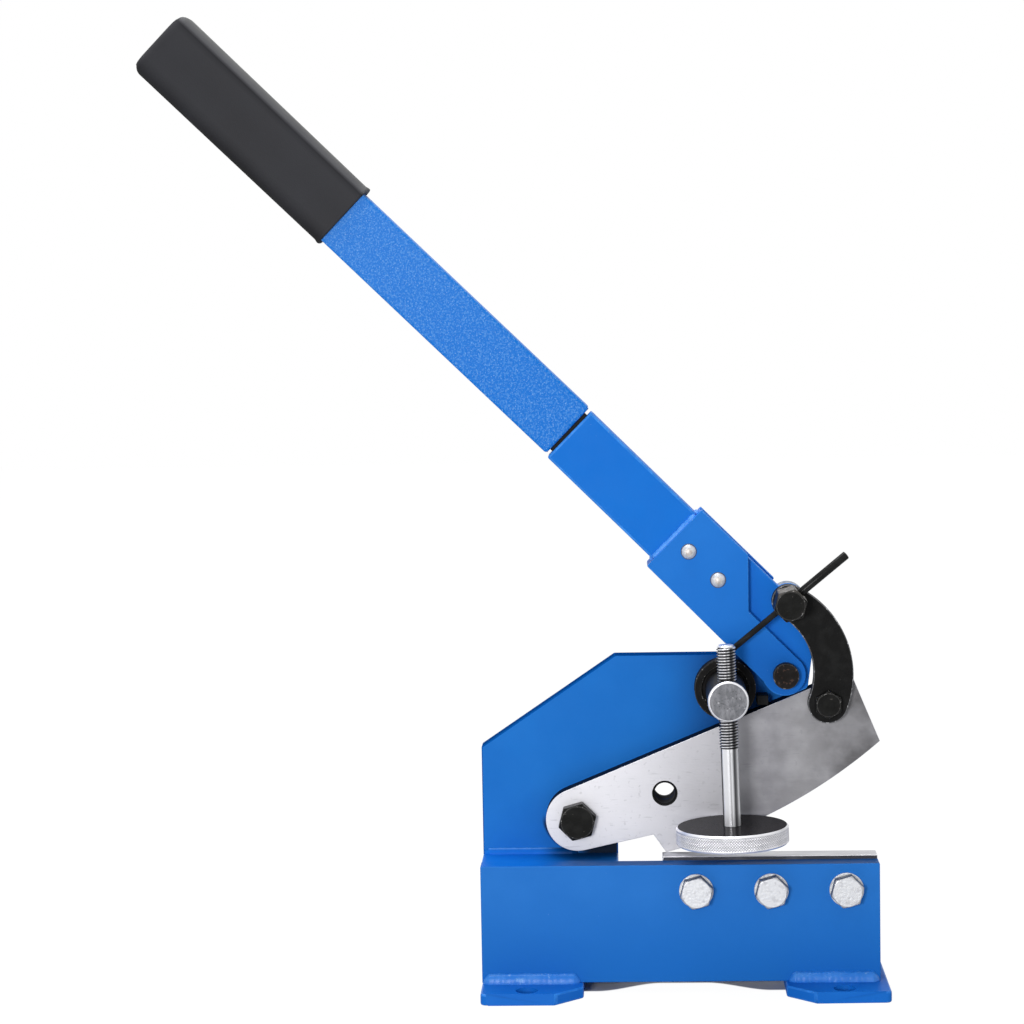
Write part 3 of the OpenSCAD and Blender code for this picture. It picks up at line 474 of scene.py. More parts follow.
def dress(node, face, edge=None, width=0.5, steps=3, areas=(), only=None):
    """Makes a bevelled copy that stands for a node. Each area is a test on a face's centre and
    normal, in millimetres, and the finish of the faces that pass it. Where only is given, the
    bevel keeps to the edges whose middles pass it."""
    shape = bmesh.new()
    shape.from_mesh(nodes[node].data)
    bmesh.ops.remove_doubles(shape, verts=shape.verts, dist=weld_gap)
    bmesh.ops.dissolve_limit(shape, angle_limit=flat_angle, verts=shape.verts, edges=shape.edges)
    mesh = bpy.data.meshes.new(node + "_dressed")
    for finish in (face, edge or face, *(finish for _, finish in areas)):
        mesh.materials.append(finish.material)
    for item in shape.faces:
        item.material_index = 0
        item.smooth = True
        middle = item.calc_center_median() / mm
        for index, (test, _) in enumerate(areas):
            if test(middle, item.normal):
                item.material_index = index + 2
    marks = shape.edges.layers.float.new("bevel_weight_edge")
    for item in shape.edges:
        sharp = len(item.link_faces) == 2 and item.calc_face_angle() > sharp_angle
        middle = (item.verts[0].co + item.verts[1].co) / 2 / mm
        item[marks] = 1.0 if sharp and (only is None or only(middle)) else 0.0
    shape.to_mesh(mesh)
    shape.free()
    mesh.set_sharp_from_angle(angle=sharp_angle)
    copy = bpy.data.objects.new(node + "_dressed", mesh)
    bpy.context.scene.collection.objects.link(copy)
    bevel = copy.modifiers.new("edges", "BEVEL")
    bevel.limit_method = "WEIGHT"
    bevel.width = width * mm
    bevel.segments = steps
    bevel.use_clamp_overlap = False
    bevel.material = 1
    even = copy.modifiers.new("flat faces", "WEIGHTED_NORMAL")
    even.keep_sharp = True
    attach(copy, nodes[node]["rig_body"])
    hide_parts(node)


def count_dressed():
    """Counts the nodes that have a dressed copy so far."""
    return sum(item.name.endswith("_dressed") for item in bpy.data.objects)


# %% [markdown]
# ## The painted plates
# The feet, plates and tubes were cut, drilled, welded and sprayed. Their faces could be picked one by
# one, but a test on a face's place and direction says what it is: the top of a ledge, or the wall of
# a hole. A test on the middle of an edge keeps the bevel off the rims of holes, which stay crisp.
# Feet and tubes were rolled or drawn, so their edges are rounder than those of the cut plates.
# %% Tests that pick faces and edges
bar_hole = Vector((-8.75, 0, 101.8))
link_head = (57.36, 204.19)
ear_radius = 10.5
plate_ends = (-105.5, 101.5)
plate_bottom = 8
plate_top = 67
column_foot = 80


def from_hole(middle):
    """Gives the distance in millimetres from the axis of the hole for round bars."""
    return Vector((middle.x - bar_hole.x, 0, middle.z - bar_hole.z)).length


def off_holes(*spots):
    """Gives a test that an edge lies away from round holes, each (x, y, z, reach) in millimetres,
    so that a bevel leaves the rims of the holes alone."""
    return lambda middle: all((middle - Vector(spot[:3])).length > spot[3] for spot in spots)


def on_outline(middle):
    """True for the front plate's outer edges, and not for the rims of its bolt holes."""
    within = plate_ends[0] < middle.x < plate_ends[1]
    return middle.z < plate_bottom or middle.z > plate_top or not within


def on_ledge(middle, normal):
    """True on the front plate's top."""
    return normal.z > 0.9 and middle.z > plate_top


def on_shoulder(middle, normal):
    """True on the column's top and its sloping shoulder."""
    return normal.z > 0.6 and middle.z > column_foot


def in_column_hole(middle, normal):
    """True on the wall of the column's hole for round bars."""
    return abs(normal.y) < 0.5 and from_hole(middle) < 10


def on_ear(middle, normal):
    """True on the rim of the core's ear, where the link screw's head has rubbed the paint off."""
    out = Vector((middle.x - link_head[0], 0, middle.z - link_head[1])).length
    return abs(normal.y) < 0.5 and out < ear_radius and normal.z > 0


# %% Dress the frame
dress(
    "front_plate", front_blue, front_blue, 0.5,
    areas=[(on_ledge, ledge_blue)], only=on_outline,
)
dress(
    "main_plate", plate_blue, shaded_edge, 0.5,
    areas=[(on_shoulder, shaded_top), (in_column_hole, bore_grey)],
)
dress("spacer_block", ledge_blue, edge_blue, 0.7)
bench_holes = [(x, y, z, 9) for x in (-82.5, 82.5) for y in (-39.5, 39.5) for z in (0, 6)]
for name in ("foot_left", "foot_right"):
    dress(name, foot_blue, foot_edge, 1.0, 4, only=off_holes(*bench_holes))
print("dressed nodes:", count_dressed())

# %% Dress the lever
pivot_hole = [(55.45, y, 165.3, 12) for y in (-5.8, 0.2, 11.8)]
screw_spots = ((20.59, 216.0), (5.39, 231.2))
cheek_holes = [(x, y, z, 6) for x, z in screw_spots for y in (-5.8, 0.2, 11.8, 17.8)]
dress("front_cheek", cheek_blue, edge_blue, 0.5, only=off_holes(*pivot_hole, *cheek_holes))
dress("lever_core", core_blue, edge_blue, 0.5, areas=[(on_ear, ear_worn)])
dress("rear_strap", core_blue, edge_blue, 0.5)
dress("socket_tube", socket_blue, edge_blue, 1.2, 4)
dress("handle_tube", hammer_blue, hammer_blue, 1.6, 5)
print("dressed nodes:", count_dressed())

# %% [markdown]
# ## Blades
# The upper blade is ground on its face, with painted shade on its sides and painted black shade in
# the chamfer of its bar hole. The lower blade's top is ground bright, and its front, which shows as a
# narrow band, is dull. The chamfer and the bore could be pieces of their own, but tests on the same
# skin keep it closed.
# %% Tests for the blade's faces
chamfer_reach = 7.4


def clear_of_hole(middle):
    """True outside the bar hole and its chamfer, whose rim stays sharp."""
    return from_hole(middle) > chamfer_reach


def in_chamfer(middle, normal):
    """True on the cone of the bar hole's chamfer: near its axis and slanted towards the front."""
    return not clear_of_hole(middle) and -0.95 < normal.y < -0.3


def in_bore(middle, normal):
    """True on the wall of the bar hole."""
    return not clear_of_hole(middle) and abs(normal.y) < 0.3


def on_side(middle, normal):
    """True on the blade's sides, which take a painted shade, but not inside its bar hole."""
    return abs(normal.y) < 0.5 and clear_of_hole(middle)


# %% Dress the blades
dress(
    "upper_blade", ground_steel, bright_edge, 0.2, 2,
    areas=[(in_chamfer, shade_black), (on_side, blade_side_shade), (in_bore, bore_grey)], only=clear_of_hole,
)
dress(
    "lower_blade", lower_steel, bright_edge, 0.25, 2,
    areas=[(lambda middle, normal: normal.y < -0.9, dull_steel)],
)
print("dressed nodes:", count_dressed())

# %% [markdown]
# ## Bolts, pins and the link
# The heads are small, so their bevels are fine. The zinc-plated heads look different from face to
# face: dark on the flats, grey on the forged slope and bright on top, so each takes its own finish,
# which is painted shade and painted highlight. The long head of the link screw has lighter flats on
# its upper side, a painted highlight, with worn flecks where the hand and the bar rub it.
# %% Dress the fasteners
dress("lever_pivot_bolt", pivot_black, black_edge, 0.5, 3)
black_nodes = (
    "blade_pivot_bolt", "blade_pivot_nut", "lever_pivot_nut", "link_pin_bolt",
    "blade_pivot_washer", "lever_pivot_washer",
)
for name in black_nodes:
    dress(name, black, black_edge, 0.3, 2)
for name in ("lower_blade_washers", "cheek_nuts"):
    dress(name, zinc, zinc, 0.3, 2)
dress(
    "lower_blade_bolts", zinc, only=lambda middle: False,
    areas=[
        (lambda middle, normal: abs(normal.y) < 0.5, zinc_shaded_side),
        (lambda middle, normal: -0.95 < normal.y < -0.5, zinc_slope),
    ],
)
for name in ("clamp_stud_nut", "clamp_stud_washer"):
    dress(name, stud_steel, bright_edge, 0.3, 2)
dress(
    "link_screw", black, black_edge, 0.35, 2,
    areas=[(lambda middle, normal: normal.z > 0.3 and middle.y < -7, worn_lit_black)],
)
dress("link_plate", link_black, link_edge_sheen, 0.5, 3)
dress("clamp_boss", boss_black, black_edge, 0.5, 3)
# The splice bar, seen only in a gap, and the stop block are dark steel in deep shade, painted black.
dress("splice_bar", shade_black, shade_black, 0.4, 2)
dress("stop_block", shade_black, shade_black, 0.4, 2)
stud_face = -41.0
stud_ring = 0.8
dress(
    "clamp_stud", stud_steel, bright_edge, 1.0, 3,
    areas=[(lambda middle, normal: abs(normal.y) < 0.5, stud_side)],
    only=lambda middle: middle.y < stud_face + stud_ring,
)
print("dressed nodes:", count_dressed())


# %% [markdown]
# ## Surfaces from numbers
# A new piece is a grid of points, and every square of four neighbours becomes a face. Turned parts
# run a profile round an axis. A screw modifier could turn a profile too, but points worked out as
# whole arrays can carry grooves and ripples, and a change of a size or a count is one number.
# %% Helpers for surfaces
def skin(name, points, close_columns=False, sharp=40):
    """Makes a mesh from a grid of points in millimetres. A point's number is its row times the count
    of columns, plus its column. Points that meet at a pole are merged, and the faces are turned
    outwards."""
    rows, columns = points.shape[:2]
    column = np.arange(columns if close_columns else columns - 1)
    row, column = np.meshgrid(np.arange(rows - 1) * columns, column, indexing="ij")
    next_column = (column + 1) % columns
    faces = np.stack([
        row + column, row + columns + column, row + columns + next_column, row + next_column,
    ], -1).reshape(-1, 4)
    mesh = bpy.data.meshes.new(name)
    mesh.from_pydata((points.reshape(-1, 3) * mm).tolist(), [], faces.tolist())
    shape = bmesh.new()
    shape.from_mesh(mesh)
    bmesh.ops.remove_doubles(shape, verts=shape.verts, dist=weld_gap)
    bmesh.ops.recalc_face_normals(shape, faces=shape.faces)
    for item in shape.faces:
        item.smooth = True
    shape.to_mesh(mesh)
    shape.free()
    mesh.set_sharp_from_angle(angle=math.radians(sharp))
    return mesh


def fit_piece(name, mesh, node, *finishes):
    """Puts a mesh in the scene in place of a node, on that node's body."""
    for finish in finishes:
        mesh.materials.append(finish.material)
    piece = bpy.data.objects.new(name, mesh)
    bpy.context.scene.collection.objects.link(piece)
    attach(piece, nodes[node]["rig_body"])
    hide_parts(node)


def lean_by(degrees):
    """Gives the direction at an angle above the right-hand side, seen from the front, by its cosine
    and sine, and the direction a quarter turn further on."""
    angle = math.radians(degrees)
    along = np.array([math.cos(angle), 0, math.sin(angle)])
    return along, np.array([-math.sin(angle), 0, math.cos(angle)])


def square_pair(way, guide, spare):
    """Gives two directions square to a way and to each other. The first is also square to the
    guide, or to the spare guide where the first one lies nearly along the way."""
    side = np.cross(way, guide if abs(np.dot(way, guide)) < 0.9 else spare)
    side = side / np.linalg.norm(side)
    return side, np.cross(way, side)


def round_axis(foot, axis, along, radius, angle):
    """Places points round an axis: the foot, plus the distance along the axis, plus the radius
    times the cosine and sine of the angle along two directions square to it."""
    axis = np.array(axis) / np.linalg.norm(axis)
    side, other = square_pair(axis, (0, 1, 0), (1, 0, 0))
    spot = radius * np.cos(angle)
    rise = radius * np.sin(angle)
    return np.array(foot) + along[..., None] * axis + spot[..., None] * side + rise[..., None] * other


def read_spots(items, field):
    """Reads a place in millimetres for every vertex or face of a mesh, as the rows of an array."""
    spots = np.empty(len(items) * 3, np.float32)
    items.foreach_get(field, spots)
    return spots.reshape(-1, 3) / mm


def split_by_axis(spots, foot, axis):
    """Splits each place, seen from the foot, into its climb, which is its dot product with the axis,
    and what is left of it square to the axis."""
    away = spots - foot
    climb = away @ axis
    return climb, away - climb[:, None] * axis


def keep_number(mesh, name, values):
    """Keeps a number at every vertex under a name, for a finish to read."""
    mesh.attributes.new(name, "FLOAT", "POINT").data.foreach_set("value", values.astype(np.float32))


def choose_finish(mesh, kinds):
    """Gives every face the finish with the number of its kind in the piece's own list."""
    mesh.polygons.foreach_set("material_index", kinds.astype(np.int32))


def turn_profile(name, foot, axis, profile, sides):
    """Turns a list of (distance along the axis, radius) pairs into a closed skin."""
    profile = np.array(profile, float)
    angle = np.linspace(0, 2 * math.pi, sides, endpoint=False)
    along, angle = np.meshgrid(profile[:, 0], angle, indexing="ij")
    radius = np.repeat(profile[:, 1:], sides, axis=1)
    return skin(name, round_axis(foot, axis, along, radius, angle), close_columns=True)


# %% [markdown]
# ## The hold-down screw
# A thread is a single groove that climbs one pitch a turn. A bump could draw it, but the thread
# shows at the outline. The rows of the grid climb with it, so each row keeps one depth all the way
# round and the crest stays crisp. The groove's depth is a triangle wave, stretched and cut off, so
# that crest and root are flat. Crests are bright and the groove lies in shade, so its faces take a
# darker finish as painted shade, picked by their distance from the axis. Each point also keeps its
# bearing round the axis, which the finish turns into the streaks of the shank.
# %% Sizes of the hold-down screw
stud_axis = np.array([24.0, -30.0, 156.8])
_, screw_axis = lean_by(1.4)
disc_top = 90.3 - stud_axis[2]
screw_top = 185.0 - stud_axis[2]
pitch = 1.5
thread_length = 54.0
thread_depth = 0.85
groove_stretch = 1.9
groove_cut = 0.45
tip_chamfer = 1.2
screw_radius = 5.0
shank_radius = 4.6
spigot_radius = 4.0
spigot_length = 8.37
print("hold-down screw:", round(screw_top - disc_top, 1), "mm above the disc")

# %% Work out the thread
sides = 60
rows_a_turn = 12
shank_rows = 20
thread_start = screw_top - thread_length
turns = thread_length / pitch
turn = np.linspace(0, 2 * math.pi, sides + 1)
row = np.arange(-rows_a_turn, round(turns * rows_a_turn) + 1)
height = thread_start + pitch * (row[:, None] / rows_a_turn + turn / (2 * math.pi))
share = np.mod(row, rows_a_turn) / rows_a_turn
groove = np.clip(groove_stretch * np.abs(2 * share - 1) - groove_cut, 0, 1) * thread_depth
tip = np.clip(screw_top - height, 0, tip_chamfer)
radius = np.minimum(screw_radius - groove[:, None], screw_radius - tip_chamfer + tip)
radius = np.where(height < thread_start, shank_radius, radius)
height = np.clip(height, thread_start, screw_top)

spigot_foot = disc_top - spigot_length
shank_foot = disc_top + 0.1
shank = np.linspace(shank_foot, thread_start, shank_rows)
low_height = np.concatenate([[spigot_foot] * 2, [shank_foot] * 2, shank])
low_radius = np.array([0, spigot_radius, spigot_radius] + [shank_radius] * (1 + shank_rows))
low_height = np.repeat(low_height[:, None], sides + 1, axis=1)
low_radius = np.repeat(low_radius[:, None], sides + 1, axis=1)
height = np.concatenate([low_height, height, np.full((1, sides + 1), screw_top)])
radius = np.concatenate([low_radius, radius, np.zeros((1, sides + 1))])
turn = np.repeat(turn[None], len(height), axis=0)
print("rows of the screw:", len(height))

# %% Make the hold-down screw
screw_points = round_axis(stud_axis, screw_axis, height, radius, turn)
screw_mesh = skin("hold_down_screw", screw_points, sharp=50)
thread_dark = Finish("thread_dark", (40, 40, 44), 0.4, metallic=0.6)
fit_piece("hold_down_screw", screw_mesh, "clamp_screw", turned_steel, thread_dark, bright_edge)

_, outward = split_by_axis(read_spots(screw_mesh.vertices, "co"), stud_axis, screw_axis)
bearing = np.arctan2(outward[:, 0], -outward[:, 1]) / (2 * math.pi) + 0.5
keep_number(screw_mesh, "bearing", bearing)

climb, outward = split_by_axis(read_spots(screw_mesh.polygons, "center"), stud_axis, screw_axis)
deep = np.linalg.norm(outward, axis=1) < screw_radius - 0.3
in_groove = (climb > thread_start) & (climb < screw_top - tip_chamfer) & deep
at_tip = climb > screw_top - tip_chamfer - 0.05
choose_finish(screw_mesh, np.where(at_tip, 2, np.where(in_groove, 1, 0)))
print("screw faces:", len(screw_mesh.polygons))

# %% [markdown]
# ## The knurled disc
# A knurl is two sets of slanted grooves that cross. Each set is a wave in the distance round the rim
# plus or minus the height, and the deeper of the two wins. A bump would lie flat at the outline, so
# the grooves are real. The rim stands proud between two plain chamfers, and its top face is dark and
# smooth.
# %% Work out the knurled rim
disc_radius = 29.3
disc_thick = 9.3
knurl_pitch = 1.45
knurl_depth = 0.36
knurl_stretch = 1.6
knurl_cut = 0.6
chamfer = 0.9
plain_band = 0.3
rim_rows = 30
top_ring = disc_radius - 2.2
screw_hole = 4.1

rim = np.linspace(chamfer, disc_thick - chamfer, rim_rows)
rings = np.concatenate([[0, 0], rim, [disc_thick, disc_thick, disc_thick]])
reach = np.array(
    [0, disc_radius - chamfer] + [disc_radius] * rim_rows + [disc_radius - chamfer, top_ring, screw_hole]
)
knurls = round(2 * math.pi * disc_radius / knurl_pitch)
angle = np.linspace(0, 2 * math.pi, knurls * 7, endpoint=False)
height, turn = np.meshgrid(rings, angle, indexing="ij")
reach = np.repeat(reach[:, None], len(angle), axis=1)
around = turn * knurls / (2 * math.pi)
climb = height / knurl_pitch
rising = np.abs(2 * np.mod(around + climb, 1) - 1)
falling = np.abs(2 * np.mod(around - climb, 1) - 1)
groove = np.clip(np.maximum(rising, falling) * knurl_stretch - knurl_cut, 0, 1) * knurl_depth
on_rim = (height > chamfer + plain_band) & (height < disc_thick - chamfer - plain_band)
reach = reach - np.where(on_rim, groove, 0)
print("knurls round the rim:", knurls)

# %% Make the disc
disc_foot = stud_axis + screw_axis * (disc_top - disc_thick)
disc_points = round_axis(disc_foot, screw_axis, height, reach, turn)
disc_mesh = skin("hold_down_disc", disc_points, close_columns=True, sharp=35)

rim_steel = Finish("rim_steel", (236, 235, 239), 0.4, metallic=0.7)
rim_steel.speckle(6, 0.45, 0.6, (190, 190, 194), 0.4)
# The knurl's grooves take a darker grey: painted shade.
rim_dark = Finish("rim_dark", (176, 176, 180), 0.5, metallic=0.5)
fit_piece("hold_down_disc", disc_mesh, "clamp_disc", rim_steel, disc_face, bright_edge, rim_dark)

climb, outward = split_by_axis(read_spots(disc_mesh.polygons, "center"), disc_foot, screw_axis)
on_top = climb > disc_thick - 0.02
on_chamfer = (climb > disc_thick - chamfer) & (climb < disc_thick - 0.02)
between = (climb > chamfer + 0.2) & (climb < disc_thick - chamfer - 0.2)
deep = between & (np.linalg.norm(outward, axis=1) < disc_radius - 0.22)
choose_finish(disc_mesh, np.where(deep, 3, np.where(on_chamfer, 2, np.where(on_top, 1, 0))))
print("disc faces:", len(disc_mesh.polygons))

# %% [markdown]
# ## The tommy bar and the domed screws
# The bar through the link screw's long head is a black rod, thinner below the head than above it. It
# is one profile turned round its axis, with a quarter round at each end. The imported model has the
# two domed screws in the cheek, which only need the greys of their rims and middles: painted shade
# round each rim and a dimmer painted middle.
# %% Turn the tommy bar
link_top = np.array([link_head[0], -14.7, link_head[1]])
bar_way, bar_side = lean_by(39.3)
bar_length = 78.4
bar_radius = 2.2
bar_rise = 0.7
bar_foot = link_top + bar_rise * bar_side - bar_way * bar_length / 2
thin_radius = 1.6
thin_length = 31.0
step_length = 0.8
end_length = 0.6
rounding = [(end_length * (1 - math.cos(a)), math.sin(a)) for a in np.linspace(0, math.pi / 2, 7)]
low_end = [(place, thin_radius * size) for place, size in rounding]
high_end = [(bar_length - place, bar_radius * size) for place, size in rounding[::-1]]
profile = low_end + [(thin_length, thin_radius), (thin_length + step_length, bar_radius)] + high_end
bar_mesh = turn_profile("tommy_rod", bar_foot, bar_way, profile, 40)
fit_piece("tommy_rod", bar_mesh, "tommy_bar", rod_black)
print("rod faces:", len(bar_mesh.polygons))

# %% Dress the domed screws
dress(
    "cheek_screws", zinc, only=lambda middle: False,
    areas=[
        (lambda middle, normal: normal.y > -0.6, zinc_shaded_side),
        (lambda middle, normal: normal.y < -0.93, zinc_middle),
    ],
)
print("dressed nodes:", count_dressed())

# %% [markdown]
# ## The grip
# The grip is a dipped vinyl sleeve: a rounded oblong in section, a little wider at its closed end,
# with a thin lip round its mouth. A box with rounded edges would be too regular. Its section is a
# squared oval, whose corners come from raising the cosine and sine to a small power. One list of
# sections runs from the closed end, over the outside and the lip, and back inside round the tube.
# Each point keeps its place across the grip, from which the finish paints a highlight along its upper
# edge and a shade along its lower one.
# %% Sizes of the grip
handle_start = np.array([-57.26, 6.0, 295.41])
handle_way, handle_side = lean_by(135.6)
grip_start = 162.4
grip_end = 296.4
tube_wide = 32.8
tube_deep = 16.0
fit = 0.1
wall = 2.6
swell = 0.5
lip = 0.5
end_round = 6.0
soft_square = 5.5
tube_square = 14.0
grip_shift = -0.6
print("grip:", round(grip_end - grip_start, 1), "mm long")


# %% Sections of the grip
def oval(half_wide, half_deep, angle, square):
    """Gives a squared oval: the cosine and sine, raised to 2 over the squareness with their signs
    kept, times the half width and the half depth."""
    power = 2 / square
    wide = half_wide * np.sign(np.cos(angle)) * np.abs(np.cos(angle)) ** power
    deep = half_deep * np.sign(np.sin(angle)) * np.abs(np.sin(angle)) ** power
    return wide, deep


def grip_sections():
    """Lists (place along the handle, growth of the half sizes, squareness) from the closed end out,
    over the lip and back in."""
    outside = fit + wall
    rows = []
    for turned in np.linspace(0, math.pi / 2, 10)[::-1]:
        back = end_round * (1 - math.sin(turned))
        inward = end_round * (1 - math.cos(turned))
        rows.append((grip_end - back, outside + swell - inward, soft_square))
    for place in np.linspace(grip_end - end_round, grip_start + 3, 40)[1:]:
        swollen = swell * (place - grip_start) / (grip_end - grip_start)
        rows.append((place, outside + swollen, soft_square))
    mouth = [
        (1.6, outside + lip * 0.7, soft_square), (0.8, outside + lip, soft_square),
        (0.2, outside + lip * 0.6, soft_square), (0, outside - 0.2, soft_square),
        (0, fit + 0.3, tube_square), (0.6, fit, tube_square),
    ]
    rows += [(grip_start + place, growth, square) for place, growth, square in mouth]
    return rows + [(grip_end - 6, fit, tube_square)]


# %% Make the grip
rows = grip_sections()
angle = np.linspace(0, 2 * math.pi, 160, endpoint=False) + 0.01
points = []
for place, growth, square in rows:
    wide, deep = oval(tube_wide / 2 + growth, tube_deep / 2 + growth, angle, square)
    shift = grip_shift if growth > fit + 0.5 else 0.0
    points.append(
        handle_start + place * handle_way + (wide + shift)[:, None] * handle_side
        - deep[:, None] * np.array([0, 1.0, 0])
    )
closed_end = [np.repeat(points[0].mean(0)[None], len(angle), 0)]
inner_end = [np.repeat(points[-1].mean(0)[None], len(angle), 0)]
grip_mesh = skin("grip", np.array(closed_end + points + inner_end), close_columns=True, sharp=70)
fit_piece("grip", grip_mesh, "handle_grip", vinyl)
aside = (read_spots(grip_mesh.vertices, "co") - handle_start) @ handle_side - grip_shift
across = np.clip(0.5 - aside / (tube_wide + 2 * (fit + wall) + swell), 0, 1)
keep_number(grip_mesh, "across", across)
print("grip faces:", len(grip_mesh.polygons))

# %% [markdown]
# ## Weld beads
# A bead is a row of overlapping puddles. It could be sculpted or scattered at random, but a tube
# that swells a little with every puddle and wanders slightly, both by sums of sines, is the same on
# each run. The tube is sunk half into the corner, and only its round face shows.
# %% The shape of a bead
dip = 0.07


def bead(start, end, radius, ripple=2.4, squash=1.0, rough=1.0):
    """Gives the points of a bead: a circle carried from start to end, whose radius follows a row of
    half sines, falls to nothing at both ends, and wanders by two slow sines. A rough of 0 leaves the
    bead smooth."""
    start = np.array(start, float)
    end = np.array(end, float)
    length = np.linalg.norm(end - start)
    steps = max(int(length * 3), 12)
    share = np.linspace(0, 1, steps)
    along = share * length
    puddles = dip * np.abs(np.sin(math.pi * along / ripple)) - dip
    swelling = 1 + rough * (puddles + 0.05 * np.sin(along * 0.9) + 0.03 * np.sin(along * 2.3 + 1))
    close = np.sqrt(np.clip(np.minimum(share, 1 - share) * length / radius, 0, 1))
    way = (end - start) / length
    side, other = square_pair(way, (0, 0, 1), (0, 1, 0))
    turn = np.linspace(0, 2 * math.pi, 14, endpoint=False)
    size = (radius * swelling * close)[:, None]
    across = size * np.cos(turn)
    rise = size * np.sin(turn) * squash
    line = start + along[:, None] * way
    return line[:, None, :] + across[..., None] * side + rise[..., None] * other


def lay(name, node, finish, runs):
    """Joins the beads of one node into one piece."""
    parts = [skin(name, bead(*run), close_columns=True, sharp=60) for run in runs]
    joined = bmesh.new()
    for part in parts:
        joined.from_mesh(part)
    mesh = bpy.data.meshes.new(name)
    joined.to_mesh(mesh)
    joined.free()
    print(name + ":", len(runs), "beads,", len(mesh.polygons), "faces")
    fit_piece(name, mesh, node, finish)


# %% Lay the beads of the frame
base_left = -106.4
base_right = 102.6
foot_top = 6.0
front_face = -24.0
main_front = 12.0
main_back = 24.0
inner = 54.6
foot_bead = (3.3, 3.4, 1.6, 0.2)
lay("foot_beads", "foot_welds", weld_blue, [
    ((left, face, foot_top), (right, face, foot_top), *foot_bead)
    for face in (front_face, main_back)
    for left, right in ((base_left + 0.5, -inner), (inner, base_right - 0.5))
])
ledge_top = 67.7
ledge_bead = (3.0, 7.0, 1.0, 0.2)
lay("ledge_bead", "ledge_weld", toe_blue, [
    ((base_left + 0.4, main_front, ledge_top), (-55.4, main_front, ledge_top), *ledge_bead),
])

# %% Lay the beads of the lever
arm_start = np.array([-1.83, 6.0, 238.70])
arm_way, arm_side = lean_by(135)
core_edge = arm_side * 16.5
core_depth = np.array([0, 5.8, 0])
core_bead = 1.6
cheek_end = arm_start + np.array([0, -9.2, 0]) + arm_way * 0.4
cheek_half = arm_side * 16.0
cheek_bead = 1.7
lay("arm_beads", "arm_welds", weld_bright, [
    (arm_start - core_edge - core_depth, arm_start - core_edge + core_depth, core_bead),
    (arm_start + core_edge - core_depth, arm_start + core_edge + core_depth, core_bead),
    (cheek_end - cheek_half, cheek_end + cheek_half, cheek_bead),
])

# %% [markdown]
# ## The table
# The machine stands on a white table. A plain white floor under these lamps would look grey, so the
# floor glows nearly white to the camera, and only a faint shadow stays around the feet. Right under
# the machine, between the feet, the glow stops and the floor keeps its full shade, which draws the
# dark line below the front plate. Its front edge curves back towards the middle.
# %% Lay the table
def join_shaders(tree, share, first, second, output):
    """Mixes two shaders by a share and links the mix to a new output's surface."""
    mix = tree.nodes.new("ShaderNodeMixShader")
    tree.links.new(share, mix.inputs[0])
    tree.links.new(first.outputs[0], mix.inputs[1])
    tree.links.new(second.outputs[0], mix.inputs[2])
    tree.links.new(mix.outputs[0], tree.nodes.new(output).inputs["Surface"])


reach = 4000 * mm
shaded_half = 60 * mm
shaded_back = 24 * mm
glow_share = 0.9
bend = (12 * mm, 46 * mm, 1 * mm, 17 * mm)
front_edge = (-3 * mm, -1 * mm, glow_share, 0.0)

floor_mesh = bpy.data.meshes.new("floor")
floor_corners = [(-reach, -reach, 0), (reach, -reach, 0), (reach, reach, 0), (-reach, reach, 0)]
floor_mesh.from_pydata(floor_corners, [], [(0, 1, 2, 3)])
floor = bpy.data.objects.new("floor", floor_mesh)
bpy.context.scene.collection.objects.link(floor)

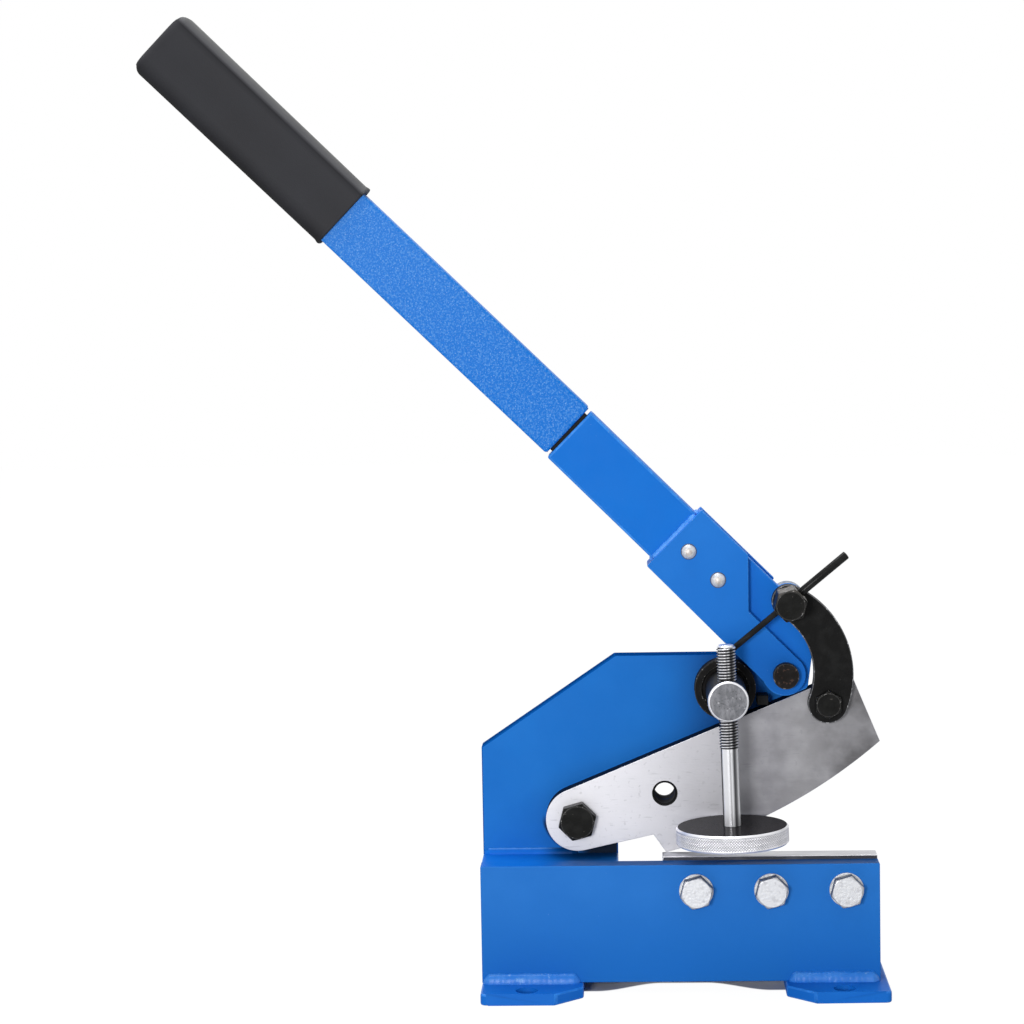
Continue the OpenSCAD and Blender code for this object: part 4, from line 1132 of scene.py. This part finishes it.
table = bpy.data.materials.new("white_table")
floor_mesh.materials.append(table)
table.use_nodes = True
tree = table.node_tree
tree.nodes.clear()
place = tree.nodes.new("ShaderNodeTexCoord")
parts = tree.nodes.new("ShaderNodeSeparateXYZ")
tree.links.new(place.outputs["Object"], parts.inputs[0])
from_middle = calculate(tree, "ABSOLUTE", parts.outputs["X"])
curve = fade(tree, from_middle, *bend, smooth=True)
in_front = fade(tree, calculate(tree, "ADD", parts.outputs["Y"], curve), *front_edge)
beside = calculate(tree, "GREATER_THAN", from_middle, shaded_half)
behind = calculate(tree, "GREATER_THAN", parts.outputs["Y"], shaded_back)
around = calculate(tree, "MULTIPLY", calculate(tree, "MAXIMUM", beside, behind), glow_share)
glowing = calculate(tree, "MAXIMUM", in_front, around)
path = tree.nodes.new("ShaderNodeLightPath")
seen = calculate(tree, "MULTIPLY", path.outputs["Is Camera Ray"], glowing)
matte = add_node(tree, "ShaderNodeBsdfDiffuse", Color=(0.74, 0.74, 0.74, 1))
glow = add_node(tree, "ShaderNodeEmission", Strength=1.08)
join_shaders(tree, seen, matte, glow, "ShaderNodeOutputMaterial")
print("table nodes:", len(tree.nodes))

# %% [markdown]
# ## The white room
# The world lights the machine evenly from all round, at less than half strength, so that pale faces
# don't clip. The camera and the polished steel see it as pure white.
# %% Light the room
world = bpy.data.worlds.new("white_room")
bpy.context.scene.world = world
world.use_nodes = True
tree = world.node_tree
tree.nodes.clear()
room = add_node(tree, "ShaderNodeBackground", Color=(0.95, 0.97, 1.0, 1), Strength=0.44)
white = add_node(tree, "ShaderNodeBackground", Color=(1, 1, 1, 1))
path = tree.nodes.new("ShaderNodeLightPath")
seen = calculate(tree, "MAXIMUM", path.outputs["Is Camera Ray"], path.outputs["Is Glossy Ray"])
join_shaders(tree, seen, room, white, "ShaderNodeOutputWorld")
print("room nodes:", len(tree.nodes))


# %% [markdown]
# ## The lamps
# A soft lamp above puts shade under the blade and the disc, and one in front keeps the plates even.
# Square area lamps give the soft edges of studio boxes. The small one in front, far away, keeps its
# shade crisper than the large one above.
# %% Hang the lamps
def softbox(name, spot, target, size, power):
    """Adds a square lamp that faces a target."""
    lamp = bpy.data.lights.new(name, "AREA")
    lamp.size = size * mm
    lamp.energy = power
    box = bpy.data.objects.new(name, lamp)
    spot = Vector(spot) * mm
    facing = (spot - Vector(target) * mm).to_track_quat("Z", "Y")
    box.matrix_world = Matrix.Translation(spot) @ facing.to_matrix().to_4x4()
    bpy.context.scene.collection.objects.link(box)


softbox("front", (-380, -1480, 330), (0, 0, 200), 260, 10.3)
softbox("top", (-250, 100, 1500), (0, 0, 100), 800, 12)
bpy.context.scene.view_settings.view_transform = "Standard"
print("lamps:", len(bpy.data.lights))
